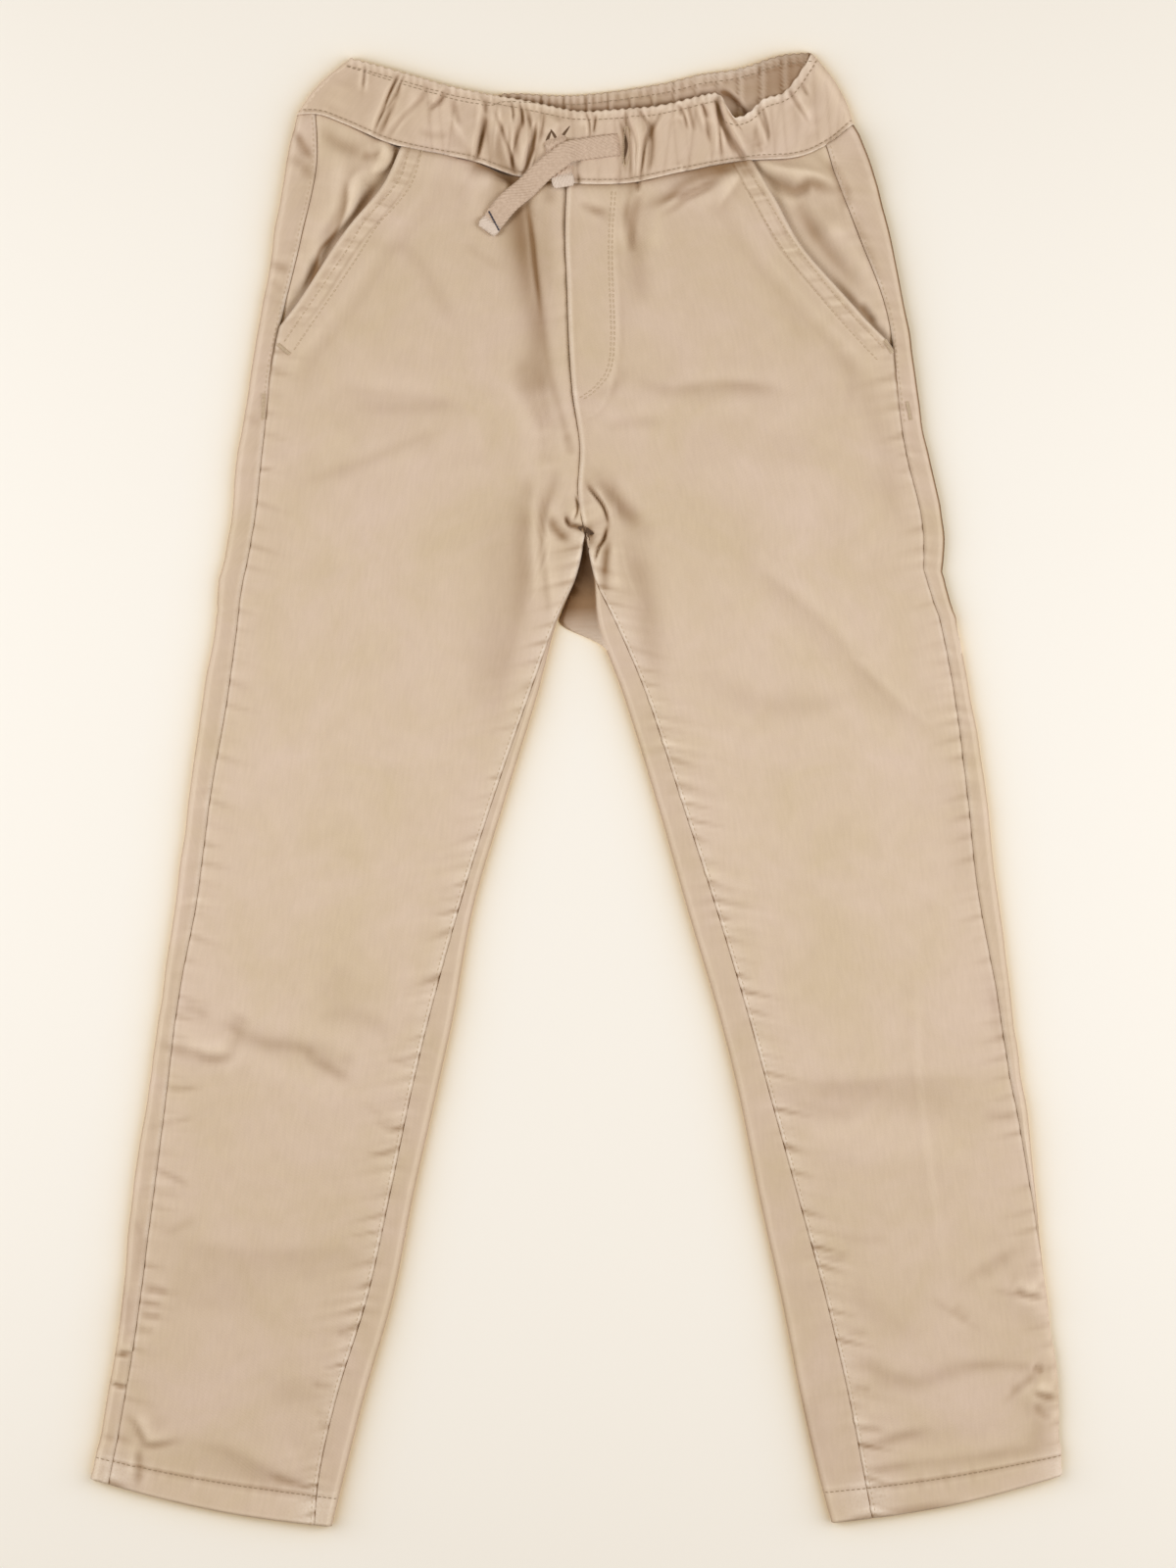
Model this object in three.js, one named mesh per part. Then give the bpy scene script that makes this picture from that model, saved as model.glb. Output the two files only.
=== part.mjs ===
// Children's pull-on trousers in cotton twill, laid flat with the front up.
//
// +Z is up, +Y points to the waist and +X to the wearer's left. Sizes are in millimetres.
// The origin lies under the middle of the laid garment. "Right" and "left" are the wearer's.
//
// Each half of the garment is a flattened tube of cloth, given by sections across it from the
// outer fold to the centre front seam or, below the crotch, to the leg's inner fold. Along a
// section the cloth is followed by `arc`, a length that starts on the outer fold, runs over the
// top to the inner fold and comes back underneath. A panel is the part of the tube between two
// seams, so neighbours meet edge to edge on the same curve.

import * as THREE from 'three';
import { mergeVertices } from 'three/addons/utils/BufferGeometryUtils.js';

// Cloth and seams.
const CLOTH = 1.5;
const SEAM_GAP = 0.4;
const LAYER_GAP = 0.3;
const WAIST_GAP = 0.5;
const HEM_TURN = 0.7;
const HEM_BOW = 4;

// Heights of the upper side of the laid cloth, and the roundness of its folds.
const FLAT_HEIGHT = 2 * CLOTH + LAYER_GAP;
const REST_HEIGHT = 4.6;
const FOLD_HEIGHT = 6.4;
const FOLD_RADIUS = 3;
const FOLD_SPREAD = 22;
const HIGHEST = 7.2;

// Pocket and mock fly.
const POCKET_UNDERLAP = 18;
const POCKET_BOTTOM = 3.5;
const POCKET_LIFT = CLOTH + 0.6;
const POCKET_FADE = 12;
const FLY_WIDTH = 24;
const FLY_STRAIGHT = 2.2;
const FLY_BOTTOM = 4;
const FLY_CLOTH = 1;
const FLY_LIFT = 0.9;

// Waistband: two layers of twill round an elastic.
const BAND = 2.2;
const BAND_REST = 2 * BAND + LAYER_GAP + 0.6;
const BAND_FRONT_STEPS = 104;
const BAND_BACK_STEPS = 72;
const BAND_ROWS = 4;
const BAND_END_BOW = 3.5;

// Panels: steps along the garment between two sections, and across it.
const STEPS_PER_SECTION = 2;
const FRONT_STEPS = 12;
const POCKET_STEPS = 9;
const FLY_STEPS = 4;
const BOTTOM_STEPS = 7;
const SHORTEST_STEP = 1.2;

// Sections from the waist to the hem. `outer` is the outer fold; `inner` is the centre front
// seam in the first eight rows, down to the crotch, and the leg's inner fold below. `side` and `inseam` are
// the lengths of cloth from the folds to the seams, and `mouth` that to the pocket's edge.
const RIGHT_SECTIONS = [
  { outerX: -151, outerY: 365, innerX: -5, innerY: 328, side: 12, inseam: 0, mouth: 60 },
  { outerX: -156, outerY: 340, innerX: -6, innerY: 300, side: 18, inseam: 0, mouth: 54 },
  { outerX: -163, outerY: 303, innerX: -5, innerY: 273, side: 17, inseam: 0, mouth: 37 },
  { outerX: -169, outerY: 266, innerX: -4, innerY: 244, side: 14, inseam: 0, mouth: 21 },
  { outerX: -175, outerY: 226, innerX: -2, innerY: 215, side: 12, inseam: 0, mouth: 1 },
  { outerX: -183, outerY: 181, innerX: 2, innerY: 186, side: 15, inseam: 0, mouth: 0 },
  { outerX: -187, outerY: 146, innerX: 1, innerY: 160, side: 15, inseam: 0, mouth: 0 },
  { outerX: -192, outerY: 117, innerX: 5, innerY: 137, side: 15, inseam: 0, mouth: 0 },
  { outerX: -194, outerY: 102, innerX: 0, innerY: 115, side: 14, inseam: 1, mouth: 0 },
  { outerX: -196, outerY: 86, innerX: -11, innerY: 89, side: 14, inseam: 2, mouth: 0 },
  { outerX: -202, outerY: 48, innerX: -22, innerY: 48, side: 15, inseam: 6, mouth: 0 },
  { outerX: -209, outerY: -5, innerX: -40, innerY: -10, side: 13, inseam: 8, mouth: 0 },
  { outerX: -216, outerY: -58, innerX: -56, innerY: -65, side: 13, inseam: 9, mouth: 0 },
  { outerX: -224, outerY: -111, innerX: -66, innerY: -120, side: 11, inseam: 14, mouth: 0 },
  { outerX: -231, outerY: -156, innerX: -76, innerY: -166, side: 12, inseam: 15, mouth: 0 },
  { outerX: -238, outerY: -206, innerX: -88, innerY: -219, side: 13, inseam: 14, mouth: 0 },
  { outerX: -244, outerY: -259, innerX: -99, innerY: -274, side: 12, inseam: 15, mouth: 0 },
  { outerX: -250, outerY: -310, innerX: -114, innerY: -326, side: 11, inseam: 16, mouth: 0 },
  { outerX: -257, outerY: -349, innerX: -125, innerY: -369, side: 11, inseam: 15, mouth: 0 },
  { outerX: -263, outerY: -372, innerX: -132, innerY: -398, side: 12, inseam: 11, mouth: 0 },
];
const LEFT_SECTIONS = [
  { outerX: 150, outerY: 360, innerX: -5, innerY: 328, side: 17, inseam: 0, mouth: 58 },
  { outerX: 159, outerY: 340, innerX: -6, innerY: 300, side: 20, inseam: 0, mouth: 56 },
  { outerX: 170, outerY: 300, innerX: -5, innerY: 273, side: 18, inseam: 0, mouth: 49 },
  { outerX: 178, outerY: 260, innerX: -4, innerY: 244, side: 12, inseam: 0, mouth: 27 },
  { outerX: 184, outerY: 222, innerX: -2, innerY: 215, side: 13, inseam: 0, mouth: 2 },
  { outerX: 191, outerY: 181, innerX: 2, innerY: 186, side: 14, inseam: 0, mouth: 0 },
  { outerX: 198, outerY: 146, innerX: 1, innerY: 160, side: 13, inseam: 0, mouth: 0 },
  { outerX: 198, outerY: 118, innerX: 5, innerY: 137, side: 12, inseam: 0, mouth: 0 },
  { outerX: 202, outerY: 102, innerX: 9, innerY: 115, side: 11, inseam: 2, mouth: 0 },
  { outerX: 206, outerY: 86, innerX: 12, innerY: 88, side: 10, inseam: 12, mouth: 0 },
  { outerX: 213, outerY: 48, innerX: 26, innerY: 50, side: 10, inseam: 14, mouth: 0 },
  { outerX: 222, outerY: -5, innerX: 44, innerY: -8, side: 12, inseam: 15, mouth: 0 },
  { outerX: 228, outerY: -58, innerX: 60, innerY: -64, side: 12, inseam: 17, mouth: 0 },
  { outerX: 235, outerY: -111, innerX: 77, innerY: -121, side: 9, inseam: 17, mouth: 0 },
  { outerX: 241, outerY: -156, innerX: 88, innerY: -165, side: 8, inseam: 18, mouth: 0 },
  { outerX: 247, outerY: -206, innerX: 99, innerY: -220, side: 5, inseam: 22, mouth: 0 },
  { outerX: 253, outerY: -259, innerX: 111, innerY: -275, side: 1, inseam: 25, mouth: 0 },
  { outerX: 259, outerY: -310, innerX: 121, innerY: -326, side: -3, inseam: 27, mouth: 0 },
  { outerX: 261, outerY: -349, innerX: 130, innerY: -366, side: -4, inseam: 26, mouth: 0 },
  { outerX: 263, outerY: -370, innerX: 138, innerY: -396, side: -4, inseam: 24, mouth: 0 },
];
const CROTCH = 7;
const HEM = RIGHT_SECTIONS.length - 1;
const WAIST_BOW_END = 2.5;

// The waist seam, from the right fold to the left one.
const WAIST_SEAM = [
  { x: -151, y: 365 },
  { x: -139, y: 365 },
  { x: -125, y: 360 },
  { x: -99, y: 349 },
  { x: -56, y: 340 },
  { x: -32, y: 332 },
  { x: -5, y: 328 },
  { x: 27, y: 328 },
  { x: 57, y: 334 },
  { x: 91, y: 340 },
  { x: 119, y: 342 },
  { x: 136, y: 349 },
  { x: 150, y: 360 },
];

// The same seam on the lower cloth, which hangs less deep.
const BACK_WAIST_SEAM = [
  { x: -151, y: 365 },
  { x: -115, y: 357 },
  { x: -60, y: 346 },
  { x: -5, y: 341 },
  { x: 60, y: 344 },
  { x: 115, y: 353 },
  { x: 150, y: 360 },
];

// The band's upper edges. The front one drops into a short fold near the left end.
const BAND_FRONT_TOP = [
  { x: -123, y: 395 },
  { x: -101, y: 389 },
  { x: -66, y: 379 },
  { x: -25, y: 371 },
  { x: 0, y: 366 },
  { x: 27, y: 367 },
  { x: 46, y: 369 },
  { x: 72, y: 375 },
  { x: 78, y: 374 },
  { x: 84, y: 363 },
  { x: 92, y: 364 },
  { x: 101, y: 372 },
  { x: 112, y: 376 },
  { x: 119, y: 384 },
  { x: 128, y: 398 },
];
const BAND_BACK_TOP = [
  { x: -123, y: 395 },
  { x: -84, y: 385 },
  { x: -47, y: 377 },
  { x: 0, y: 375 },
  { x: 46, y: 381 },
  { x: 67, y: 386 },
  { x: 88, y: 389 },
  { x: 110, y: 396 },
  { x: 128, y: 398 },
];

// Gathers of the band's front: where a ridge meets the waist seam and the top edge, how high it
// stands and how wide it is, and from which share of the band's height up to which it shows.
const GATHERS = [
  { foot: -115, top: -112, height: 0.9, width: 4, from: 0.3, to: 1 },
  { foot: -106, top: -97, height: 2, width: 4, from: 0, to: 1 },
  { foot: -94, top: -80, height: 1.4, width: 5, from: 0, to: 1 },
  { foot: -84, top: -71, height: 1, width: 3.5, from: 0.5, to: 1 },
  { foot: -58, top: -60, height: 1.5, width: 4, from: 0, to: 0.8 },
  { foot: -52, top: -50, height: 1.8, width: 3, from: 0.1, to: 1 },
  { foot: -44, top: -41, height: 1.5, width: 4, from: 0, to: 0.9 },
  { foot: -36, top: -31, height: 1.9, width: 3.5, from: 0, to: 1 },
  { foot: -28, top: -22, height: 1.6, width: 3.5, from: 0, to: 1 },
  { foot: -19, top: -14, height: 1.1, width: 3.5, from: 0.3, to: 1 },
  { foot: 9, top: 7, height: 1, width: 4, from: 0.5, to: 1 },
  { foot: 30, top: 24, height: 2, width: 3, from: 0, to: 1 },
  { foot: 37, top: 38, height: 2, width: 3, from: 0, to: 1 },
  { foot: 50, top: 48, height: 0.9, width: 4, from: 0.5, to: 1 },
  { foot: 66, top: 58, height: 1, width: 5, from: 0.4, to: 1 },
  { foot: 77, top: 72, height: 1.9, width: 4, from: 0, to: 1 },
  { foot: 94, top: 80, height: 2, width: 5, from: 0, to: 1 },
  { foot: 103, top: 97, height: 1.2, width: 4, from: 0.2, to: 1 },
  { foot: 112, top: 105, height: 1, width: 4, from: 0, to: 0.6 },
  { foot: 128, top: 116, height: 1.2, width: 4, from: 0.3, to: 1 },
];
// The band's back has even gathers, raised on its inner side only.
const BACK_GATHER_PITCH = 11.5;
const BACK_GATHER_HEIGHT = 0.7;
const BACK_GATHER_DRIFT = 0.6;

// Largest folds of the laid cloth: a straight crest or, where the height is negative, trough
// from one point to another, with its half width.
const FOLDS = [
  // Beside the mock fly, and below the gathers of the waistband.
  { fromX: -21, fromY: 312, toX: -14, toY: 185, height: -1.4, width: 6 },
  { fromX: -30, fromY: 330, toX: -27, toY: 270, height: 1.4, width: 8 },
  { fromX: 35, fromY: 325, toX: 32, toY: 285, height: -1, width: 5 },
  { fromX: 45, fromY: 322, toX: 42, toY: 290, height: 1.1, width: 7 },
  { fromX: 92, fromY: 338, toX: 62, toY: 312, height: 1.6, width: 6 },
  { fromX: -58, fromY: 336, toX: -54, toY: 305, height: 1.1, width: 6 },
  // Tucks in the pocket backs.
  { fromX: -128, fromY: 348, toX: -124, toY: 300, height: 1.4, width: 7 },
  { fromX: -142, fromY: 345, toX: -146, toY: 310, height: -1, width: 5 },
  { fromX: 112, fromY: 336, toX: 146, toY: 322, height: 1.4, width: 6 },
  { fromX: 118, fromY: 322, toX: 134, toY: 296, height: -1, width: 6 },
  // Round the crotch.
  { fromX: 7, fromY: 164, toX: 17, toY: 146, height: 2.1, width: 6 },
  { fromX: -16, fromY: 152, toX: -10, toY: 118, height: -1.2, width: 7 },
  { fromX: 22, fromY: 140, toX: 16, toY: 108, height: -1, width: 6 },
  // Thighs.
  { fromX: 82, fromY: 128, toX: 181, toY: 30, height: -1, width: 11 },
  { fromX: 92, fromY: 150, toX: 186, toY: 66, height: 1.1, width: 14 },
  { fromX: -150, fromY: 205, toX: -40, toY: 176, height: -0.9, width: 14 },
  { fromX: 50, fromY: 196, toX: 165, toY: 178, height: -0.8, width: 14 },
  { fromX: -60, fromY: 100, toX: -78, toY: -20, height: 1.3, width: 22 },
  { fromX: 60, fromY: 60, toX: 96, toY: -60, height: 1.1, width: 20 },
  // Knees.
  { fromX: -216, fromY: -139, toX: -182, toY: -142, height: 1.8, width: 7 },
  { fromX: -180, fromY: -132, toX: -118, toY: -158, height: -1, width: 9 },
  { fromX: 108, fromY: -160, toX: 226, toY: -182, height: -1, width: 12 },
  { fromX: 112, fromY: -184, toX: 216, toY: -202, height: 1.1, width: 12 },
  // Shins and ankles.
  { fromX: -212, fromY: -262, toX: -130, toY: -276, height: 1.3, width: 15 },
  { fromX: -236, fromY: -336, toX: -228, toY: -356, height: 1.9, width: 6 },
  { fromX: -222, fromY: -358, toX: -150, toY: -380, height: -0.9, width: 8 },
  { fromX: 238, fromY: -270, toX: 256, toY: -282, height: 1.8, width: 7 },
  { fromX: 236, fromY: -318, toX: 254, toY: -330, height: 1.8, width: 7 },
  { fromX: 160, fromY: -356, toX: 236, toY: -342, height: -0.9, width: 8 },
];
// Share of a fold's length over which its ends fade out.
const FOLD_END_FADE = 0.2;

// Drawcord ends: flat woven tape, given by its middle line on the underside of the tape.
const TAPE_WIDTH = 12;
const TAPE_THICKNESS = 1.6;
const TAPE_STEP = 4;
const LEFT_CORD = [
  { x: 26, y: 349, z: 7.7 },
  { x: 10, y: 347, z: 7.9 },
  { x: -3, y: 345, z: 8.6 },
  { x: -10, y: 340, z: 8.6 },
  { x: -19, y: 333, z: 7.8 },
  { x: -28, y: 324, z: 6.9 },
  { x: -37, y: 316, z: 6 },
  { x: -44, y: 308, z: 5.4 },
  { x: -49, y: 301, z: 5.2 },
];
const RIGHT_CORD = [
  { x: -13, y: 355, z: 6.6 },
  { x: -11, y: 347, z: 6.5 },
  { x: -9, y: 339, z: 6.5 },
  { x: -7, y: 331, z: 6.4 },
  { x: -6, y: 325, z: 6 },
];

const COLOURS = {
  twill: '#d3b899',
  worn: '#d6bc9f',
  band: '#cfb394',
  tape: '#cdb09a',
};

// ---- Helpers ----

function smooth(from, to, value) {
  return THREE.MathUtils.smoothstep(value, from, to);
}

// Value between the rows of a table, on a smooth curve through them.
function between(a, b, c, d, t) {
  const spline = 2 * b + (c - a) * t + (2 * a - 5 * b + 4 * c - d) * t * t;
  return (spline + (3 * b - a - 3 * c + d) * t * t * t) / 2;
}

// The rows above the crotch and those below it are two curves, joined at the crotch.
function rowAt(table, place) {
  const lowest = place < CROTCH ? 0 : CROTCH;
  const highest = place < CROTCH ? CROTCH : HEM;
  const first = Math.min(Math.floor(place), highest - 1);
  const near = (index) => table[THREE.MathUtils.clamp(index, lowest, highest)];
  const row = {};
  for (const name of Object.keys(table[0])) {
    const values = [-1, 0, 1, 2].map((offset) => near(first + offset)[name]);
    row[name] = between(...values, place - first);
  }
  return row;
}

// Height y of a curve of points with rising x.
function curveY(points, x) {
  const last = points.length - 1;
  const within = THREE.MathUtils.clamp(x, points[0].x, points[last].x);
  let index = 0;
  while (index < last - 1 && within > points[index + 1].x) {
    index += 1;
  }
  const left = points[index];
  const right = points[index + 1];
  const share = (within - left.x) / (right.x - left.x);
  const before = points[Math.max(index - 1, 0)];
  const after = points[Math.min(index + 2, last)];
  const slopeLeft = (right.y - before.y) / (right.x - before.x);
  const slopeRight = (after.y - left.y) / (after.x - left.x);
  const run = right.x - left.x;
  const a = share * share * (3 - 2 * share);
  const b = share * (1 - share) * (1 - share) * run * slopeLeft;
  const c = share * share * (share - 1) * run * slopeRight;
  return left.y + (right.y - left.y) * a + b + c;
}

// Moves the points of a box or torus by `place`, joins them and turns the faces outwards.
function shaped(geometry, place) {
  const position = geometry.attributes.position;
  const uv = geometry.attributes.uv;
  for (let i = 0; i < position.count; i += 1) {
    const x = position.getX(i) + 0.5;
    const y = position.getY(i) + 0.5;
    const z = position.getZ(i) + 0.5;
    const point = place(x, y, z, uv.getX(i), uv.getY(i));
    position.setXYZ(i, point.x, point.y, point.z);
  }
  geometry.deleteAttribute('normal');
  geometry.deleteAttribute('uv');
  const solid = mergeVertices(geometry, 1e-4);
  if (volume(solid) < 0) {
    const index = solid.index.array;
    for (let i = 0; i < index.length; i += 3) {
      [index[i], index[i + 1]] = [index[i + 1], index[i]];
    }
  }
  solid.computeVertexNormals();
  return solid;
}

function volume(geometry) {
  const corners = [new THREE.Vector3(), new THREE.Vector3(), new THREE.Vector3()];
  const index = geometry.index;
  let sum = 0;
  for (let i = 0; i < index.count; i += 3) {
    corners.forEach((corner, k) => {
      corner.fromBufferAttribute(geometry.attributes.position, index.getX(i + k));
    });
    sum += corners[0].dot(corners[1].cross(corners[2])) / 6;
  }
  return sum;
}

// The waist seam, on the upper cloth where `upper` is 1 and on the lower one where it is 0.
function waistSeamY(x, upper) {
  return THREE.MathUtils.lerp(curveY(BACK_WAIST_SEAM, x), curveY(WAIST_SEAM, x), upper);
}

// Half the waist seam's gap, as a height, where the seam slopes.
function waistGap(x, upper) {
  const slope = waistSeamY(x + 0.5, upper) - waistSeamY(x - 0.5, upper);
  return (WAIST_GAP / 2) * Math.hypot(1, slope);
}

// ---- The laid tube of cloth ----

// Soft folds at a point, added to the height of the upper cloth.
function foldHeight(x, y) {
  let sum = 0;
  for (const fold of FOLDS) {
    const runX = fold.toX - fold.fromX;
    const runY = fold.toY - fold.fromY;
    const length = Math.hypot(runX, runY);
    const along = ((x - fold.fromX) * runX + (y - fold.fromY) * runY) / (length * length);
    const across = ((x - fold.fromX) * runY - (y - fold.fromY) * runX) / length;
    const ends = smooth(-FOLD_END_FADE, FOLD_END_FADE, along) *
      smooth(-FOLD_END_FADE, FOLD_END_FADE, 1 - along);
    sum += fold.height * ends * Math.exp(-((across / fold.width) ** 2));
  }
  return sum;
}

function sectionAt(half, place) {
  const row = rowAt(half.sections, place);
  const width = Math.hypot(row.innerX - row.outerX, row.innerY - row.outerY);
  // Above the crotch the inner end is a flat seam, below it a fold that opens out.
  const open = 1 - smooth(CROTCH - 0.5, CROTCH, place);
  const innerRadius = Math.max(0.01, FOLD_RADIUS * smooth(CROTCH - 0.5, CROTCH + 1, place));
  const outerQuarter = (Math.PI / 2) * FOLD_RADIUS;
  const innerQuarter = (Math.PI / 2) * innerRadius;
  const top = width - FOLD_RADIUS - innerRadius + outerQuarter + innerQuarter;
  return { ...row, place, width, open, innerRadius, outerQuarter, innerQuarter, top };
}

// Where a length of cloth, measured from a fold, lies: its distance from the fold, the share of
// the cloth's height it has there, and the direction of its outer side.
function roundFold(arc, radius, quarter) {
  if (Math.abs(arc) >= quarter) {
    const distance = radius + Math.abs(arc) - quarter;
    return { distance, share: arc > 0 ? 1 : 0, out: 0, up: Math.sign(arc) };
  }
  const angle = (arc / quarter) * (Math.PI / 2);
  const distance = radius * (1 - Math.cos(angle));
  return { distance, share: (1 + Math.sin(angle)) / 2, out: Math.cos(angle), up: Math.sin(angle) };
}

function upperHeight(section, fromOuter, x, y) {
  const fromInner = section.width - fromOuter;
  const outer = 1 / (1 + (fromOuter / FOLD_SPREAD) ** 2);
  const inner = smooth(CROTCH, CROTCH + 2, section.place) / (1 + (fromInner / FOLD_SPREAD) ** 2);
  const hem = smooth(HEM - 1, HEM - 0.5, section.place) * HEM_TURN;
  const height = REST_HEIGHT + (FOLD_HEIGHT - REST_HEIGHT) * (outer + inner) + hem;
  return THREE.MathUtils.clamp(height + foldHeight(x, y), FLAT_HEIGHT + 2 * hem, HIGHEST);
}

// The fronts ride up over the pocket backs and the fly facing.
function frontLift(half, section, arc) {
  const across = 1 - smooth(0, POCKET_FADE, arc - section.mouth - POCKET_UNDERLAP - 2);
  const along = 1 - smooth(POCKET_BOTTOM, POCKET_BOTTOM + 1, section.place);
  const pocket = POCKET_LIFT * across * along;
  const fly = half.fly ? FLY_LIFT * flyCover(section, section.top - arc) : 0;
  return Math.max(pocket, fly);
}

// Width of the fly facing: straight, then closing in the curve of a J.
function flyWidth(place) {
  const down = THREE.MathUtils.clamp((place - FLY_STRAIGHT) / (FLY_BOTTOM - FLY_STRAIGHT), 0, 1);
  return FLY_WIDTH * Math.sqrt(1 - down * down);
}

function flyCover(section, fromCentre) {
  const edge = flyWidth(section.place - 0.5);
  const along = 1 - smooth(FLY_BOTTOM, FLY_BOTTOM + 0.7, section.place);
  return along * (1 - smooth(edge + 2, edge + 8, fromCentre));
}

// A point of the tube at `arc`, `depth` inside its outer side and raised by `lift`.
function tubePoint(half, section, arc, depth, lift = 0) {
  const turn = arc > 1.5 * section.top ? arc - 2 * section.top : arc;
  const outerSide = turn <= section.top / 2;
  const fold = outerSide
    ? roundFold(turn, FOLD_RADIUS, section.outerQuarter)
    : roundFold(section.top - turn, section.innerRadius, section.innerQuarter);
  const fromFold = fold.distance + fold.out * depth;
  const fromOuter = outerSide ? fromFold : section.width - fromFold - SEAM_GAP / 2;
  const share = fromOuter / section.width;
  const x = THREE.MathUtils.lerp(section.outerX, section.innerX, share);
  const straightY = THREE.MathUtils.lerp(section.outerY, section.innerY, share);
  const bow = 1 - smooth(0, WAIST_BOW_END, section.place);
  const chord = THREE.MathUtils.lerp(half.sections[0].outerY, half.sections[0].innerY, share);
  const waistX = THREE.MathUtils.lerp(half.sections[0].outerX, half.sections[0].innerX, share);
  const hemBow = HEM_BOW * Math.sin(Math.PI * share) * smooth(HEM - 1.5, HEM, section.place);
  const y = straightY + bow * (waistSeamY(waistX, fold.share) - chord) - hemBow;
  const flat = outerSide ? fold.distance : section.width - fold.distance;
  const z = fold.share * upperHeight(section, flat, x, y) - fold.up * depth + lift;
  const gap = section.place < 1e-6 ? waistGap(waistX, fold.share) : 0;
  return new THREE.Vector3(x, y - gap, z);
}

function hemDepth(place) {
  return place > HEM - 0.75 ? CLOTH + HEM_TURN : CLOTH;
}

// A wall of cloth: `stops` gives the arcs of its columns in a section.
function panel(half, first, last, columns, stops, lift, top = 0, cloth = hemDepth) {
  const rows = Math.round((last - first) * STEPS_PER_SECTION);
  const box = new THREE.BoxGeometry(1, 1, 1, columns, rows, 1);
  return shaped(box, (u, v, side) => {
    const place = first + Math.round((1 - v) * rows) / STEPS_PER_SECTION;
    const section = sectionAt(half, place);
    const arc = stops(section)[Math.round(u * columns)];
    const depth = top + (side > 0.5 ? 0 : cloth(place));
    return tubePoint(half, section, arc, depth, lift ? lift(half, section, arc) : 0);
  });
}

function evenly(from, to, steps) {
  return Array.from({ length: steps + 1 }, (_, i) => THREE.MathUtils.lerp(from, to, i / steps));
}

// ---- Panels ----

function frontStops(section) {
  const start = Math.max(section.side, section.mouth) + SEAM_GAP / 2;
  const gap = (1 - section.open) * SEAM_GAP / 2;
  const end = section.top - section.inseam - section.open * section.innerQuarter - gap;
  const lip = [0, SHORTEST_STEP, 3 * SHORTEST_STEP];
  const starts = lip.map((step) => start + step);
  const ends = lip.map((step) => end - step).reverse();
  return [...starts, ...evenly(starts[2], ends[0], FRONT_STEPS).slice(1, -1), ...ends];
}

function frontPanel(half) {
  return panel(half, 0, HEM, FRONT_STEPS + 4, frontStops, frontLift);
}

// Stops round a fold: on the lip, through the fold and just past it.
function foldStops(lip, quarter) {
  const past = (lip + quarter) / 2;
  return [lip, past, quarter, quarter / 2, 0, -quarter / 2, -quarter];
}

function backStops(section) {
  const gap = (1 - section.open) * SEAM_GAP / 2;
  const start = section.top - section.inseam + section.open * section.innerQuarter + gap;
  const end = 2 * section.top + section.side - SEAM_GAP / 2;
  const inner = foldStops(section.top - start, section.innerQuarter)
    .map((fromFold, k) => Math.max(section.top - fromFold, start + k * SHORTEST_STEP));
  const outer = foldStops(end - 2 * section.top, section.outerQuarter)
    .map((fromFold, k) => Math.min(2 * section.top + fromFold, end - k * SHORTEST_STEP))
    .reverse();
  const bottom = evenly(inner[inner.length - 1], outer[0], BOTTOM_STEPS).slice(1, -1);
  return [...inner, ...bottom, ...outer];
}

function backPanel(half) {
  const columns = backStops(sectionAt(half, 0)).length - 1;
  return panel(half, 0, HEM, columns, backStops, null);
}

function pocketStops(section) {
  const start = section.side + SEAM_GAP / 2;
  return evenly(start, section.mouth + POCKET_UNDERLAP, POCKET_STEPS);
}

function pocketBack(half) {
  return panel(half, 0, POCKET_BOTTOM, POCKET_STEPS, pocketStops, null, 0, () => CLOTH);
}

function flyStops(section) {
  const centre = section.top - section.innerQuarter - 1;
  return evenly(centre - Math.max(flyWidth(section.place), 3), centre, FLY_STEPS);
}

function flyFacing(half) {
  const under = CLOTH + LAYER_GAP + 0.2;
  const lift = () => FLY_LIFT;
  return panel(half, 0, FLY_BOTTOM, FLY_STEPS, flyStops, lift, under, () => FLY_CLOTH);
}

// ---- Waistband ----

function gatherHeight(x, up) {
  let sum = 0;
  for (const gather of GATHERS) {
    const crest = THREE.MathUtils.lerp(gather.foot, gather.top, up);
    const ends = smooth(gather.from - 0.25, gather.from + 0.1, up) *
      (1 - smooth(gather.to - 0.1, gather.to + 0.25, up));
    sum += gather.height * ends * Math.exp(-(((x - crest) / gather.width) ** 2) * 2);
  }
  return sum;
}

function bandSection(up) {
  const right = WAIST_SEAM[0];
  const left = WAIST_SEAM[WAIST_SEAM.length - 1];
  const bow = BAND_END_BOW * Math.sin(Math.PI * up);
  const startX = THREE.MathUtils.lerp(right.x, BAND_FRONT_TOP[0].x, up) - bow;
  const endX = THREE.MathUtils.lerp(left.x, BAND_FRONT_TOP[BAND_FRONT_TOP.length - 1].x, up) + bow;
  const quarter = (Math.PI / 2) * FOLD_RADIUS;
  const width = endX - startX;
  return { startX, width, quarter, top: width - 2 * FOLD_RADIUS + 2 * quarter };
}

// Stops round the band: over the front from the right fold to the left one, and back.
function bandStops(section) {
  const { top, quarter } = section;
  const front = evenly(quarter, top - quarter, BAND_FRONT_STEPS);
  const back = evenly(top + quarter, 2 * top - quarter, BAND_BACK_STEPS);
  const half = quarter / 2;
  return [...front, top - half, top, top + half, ...back, 2 * top - half, 2 * top, 2 * top + half];
}

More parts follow.
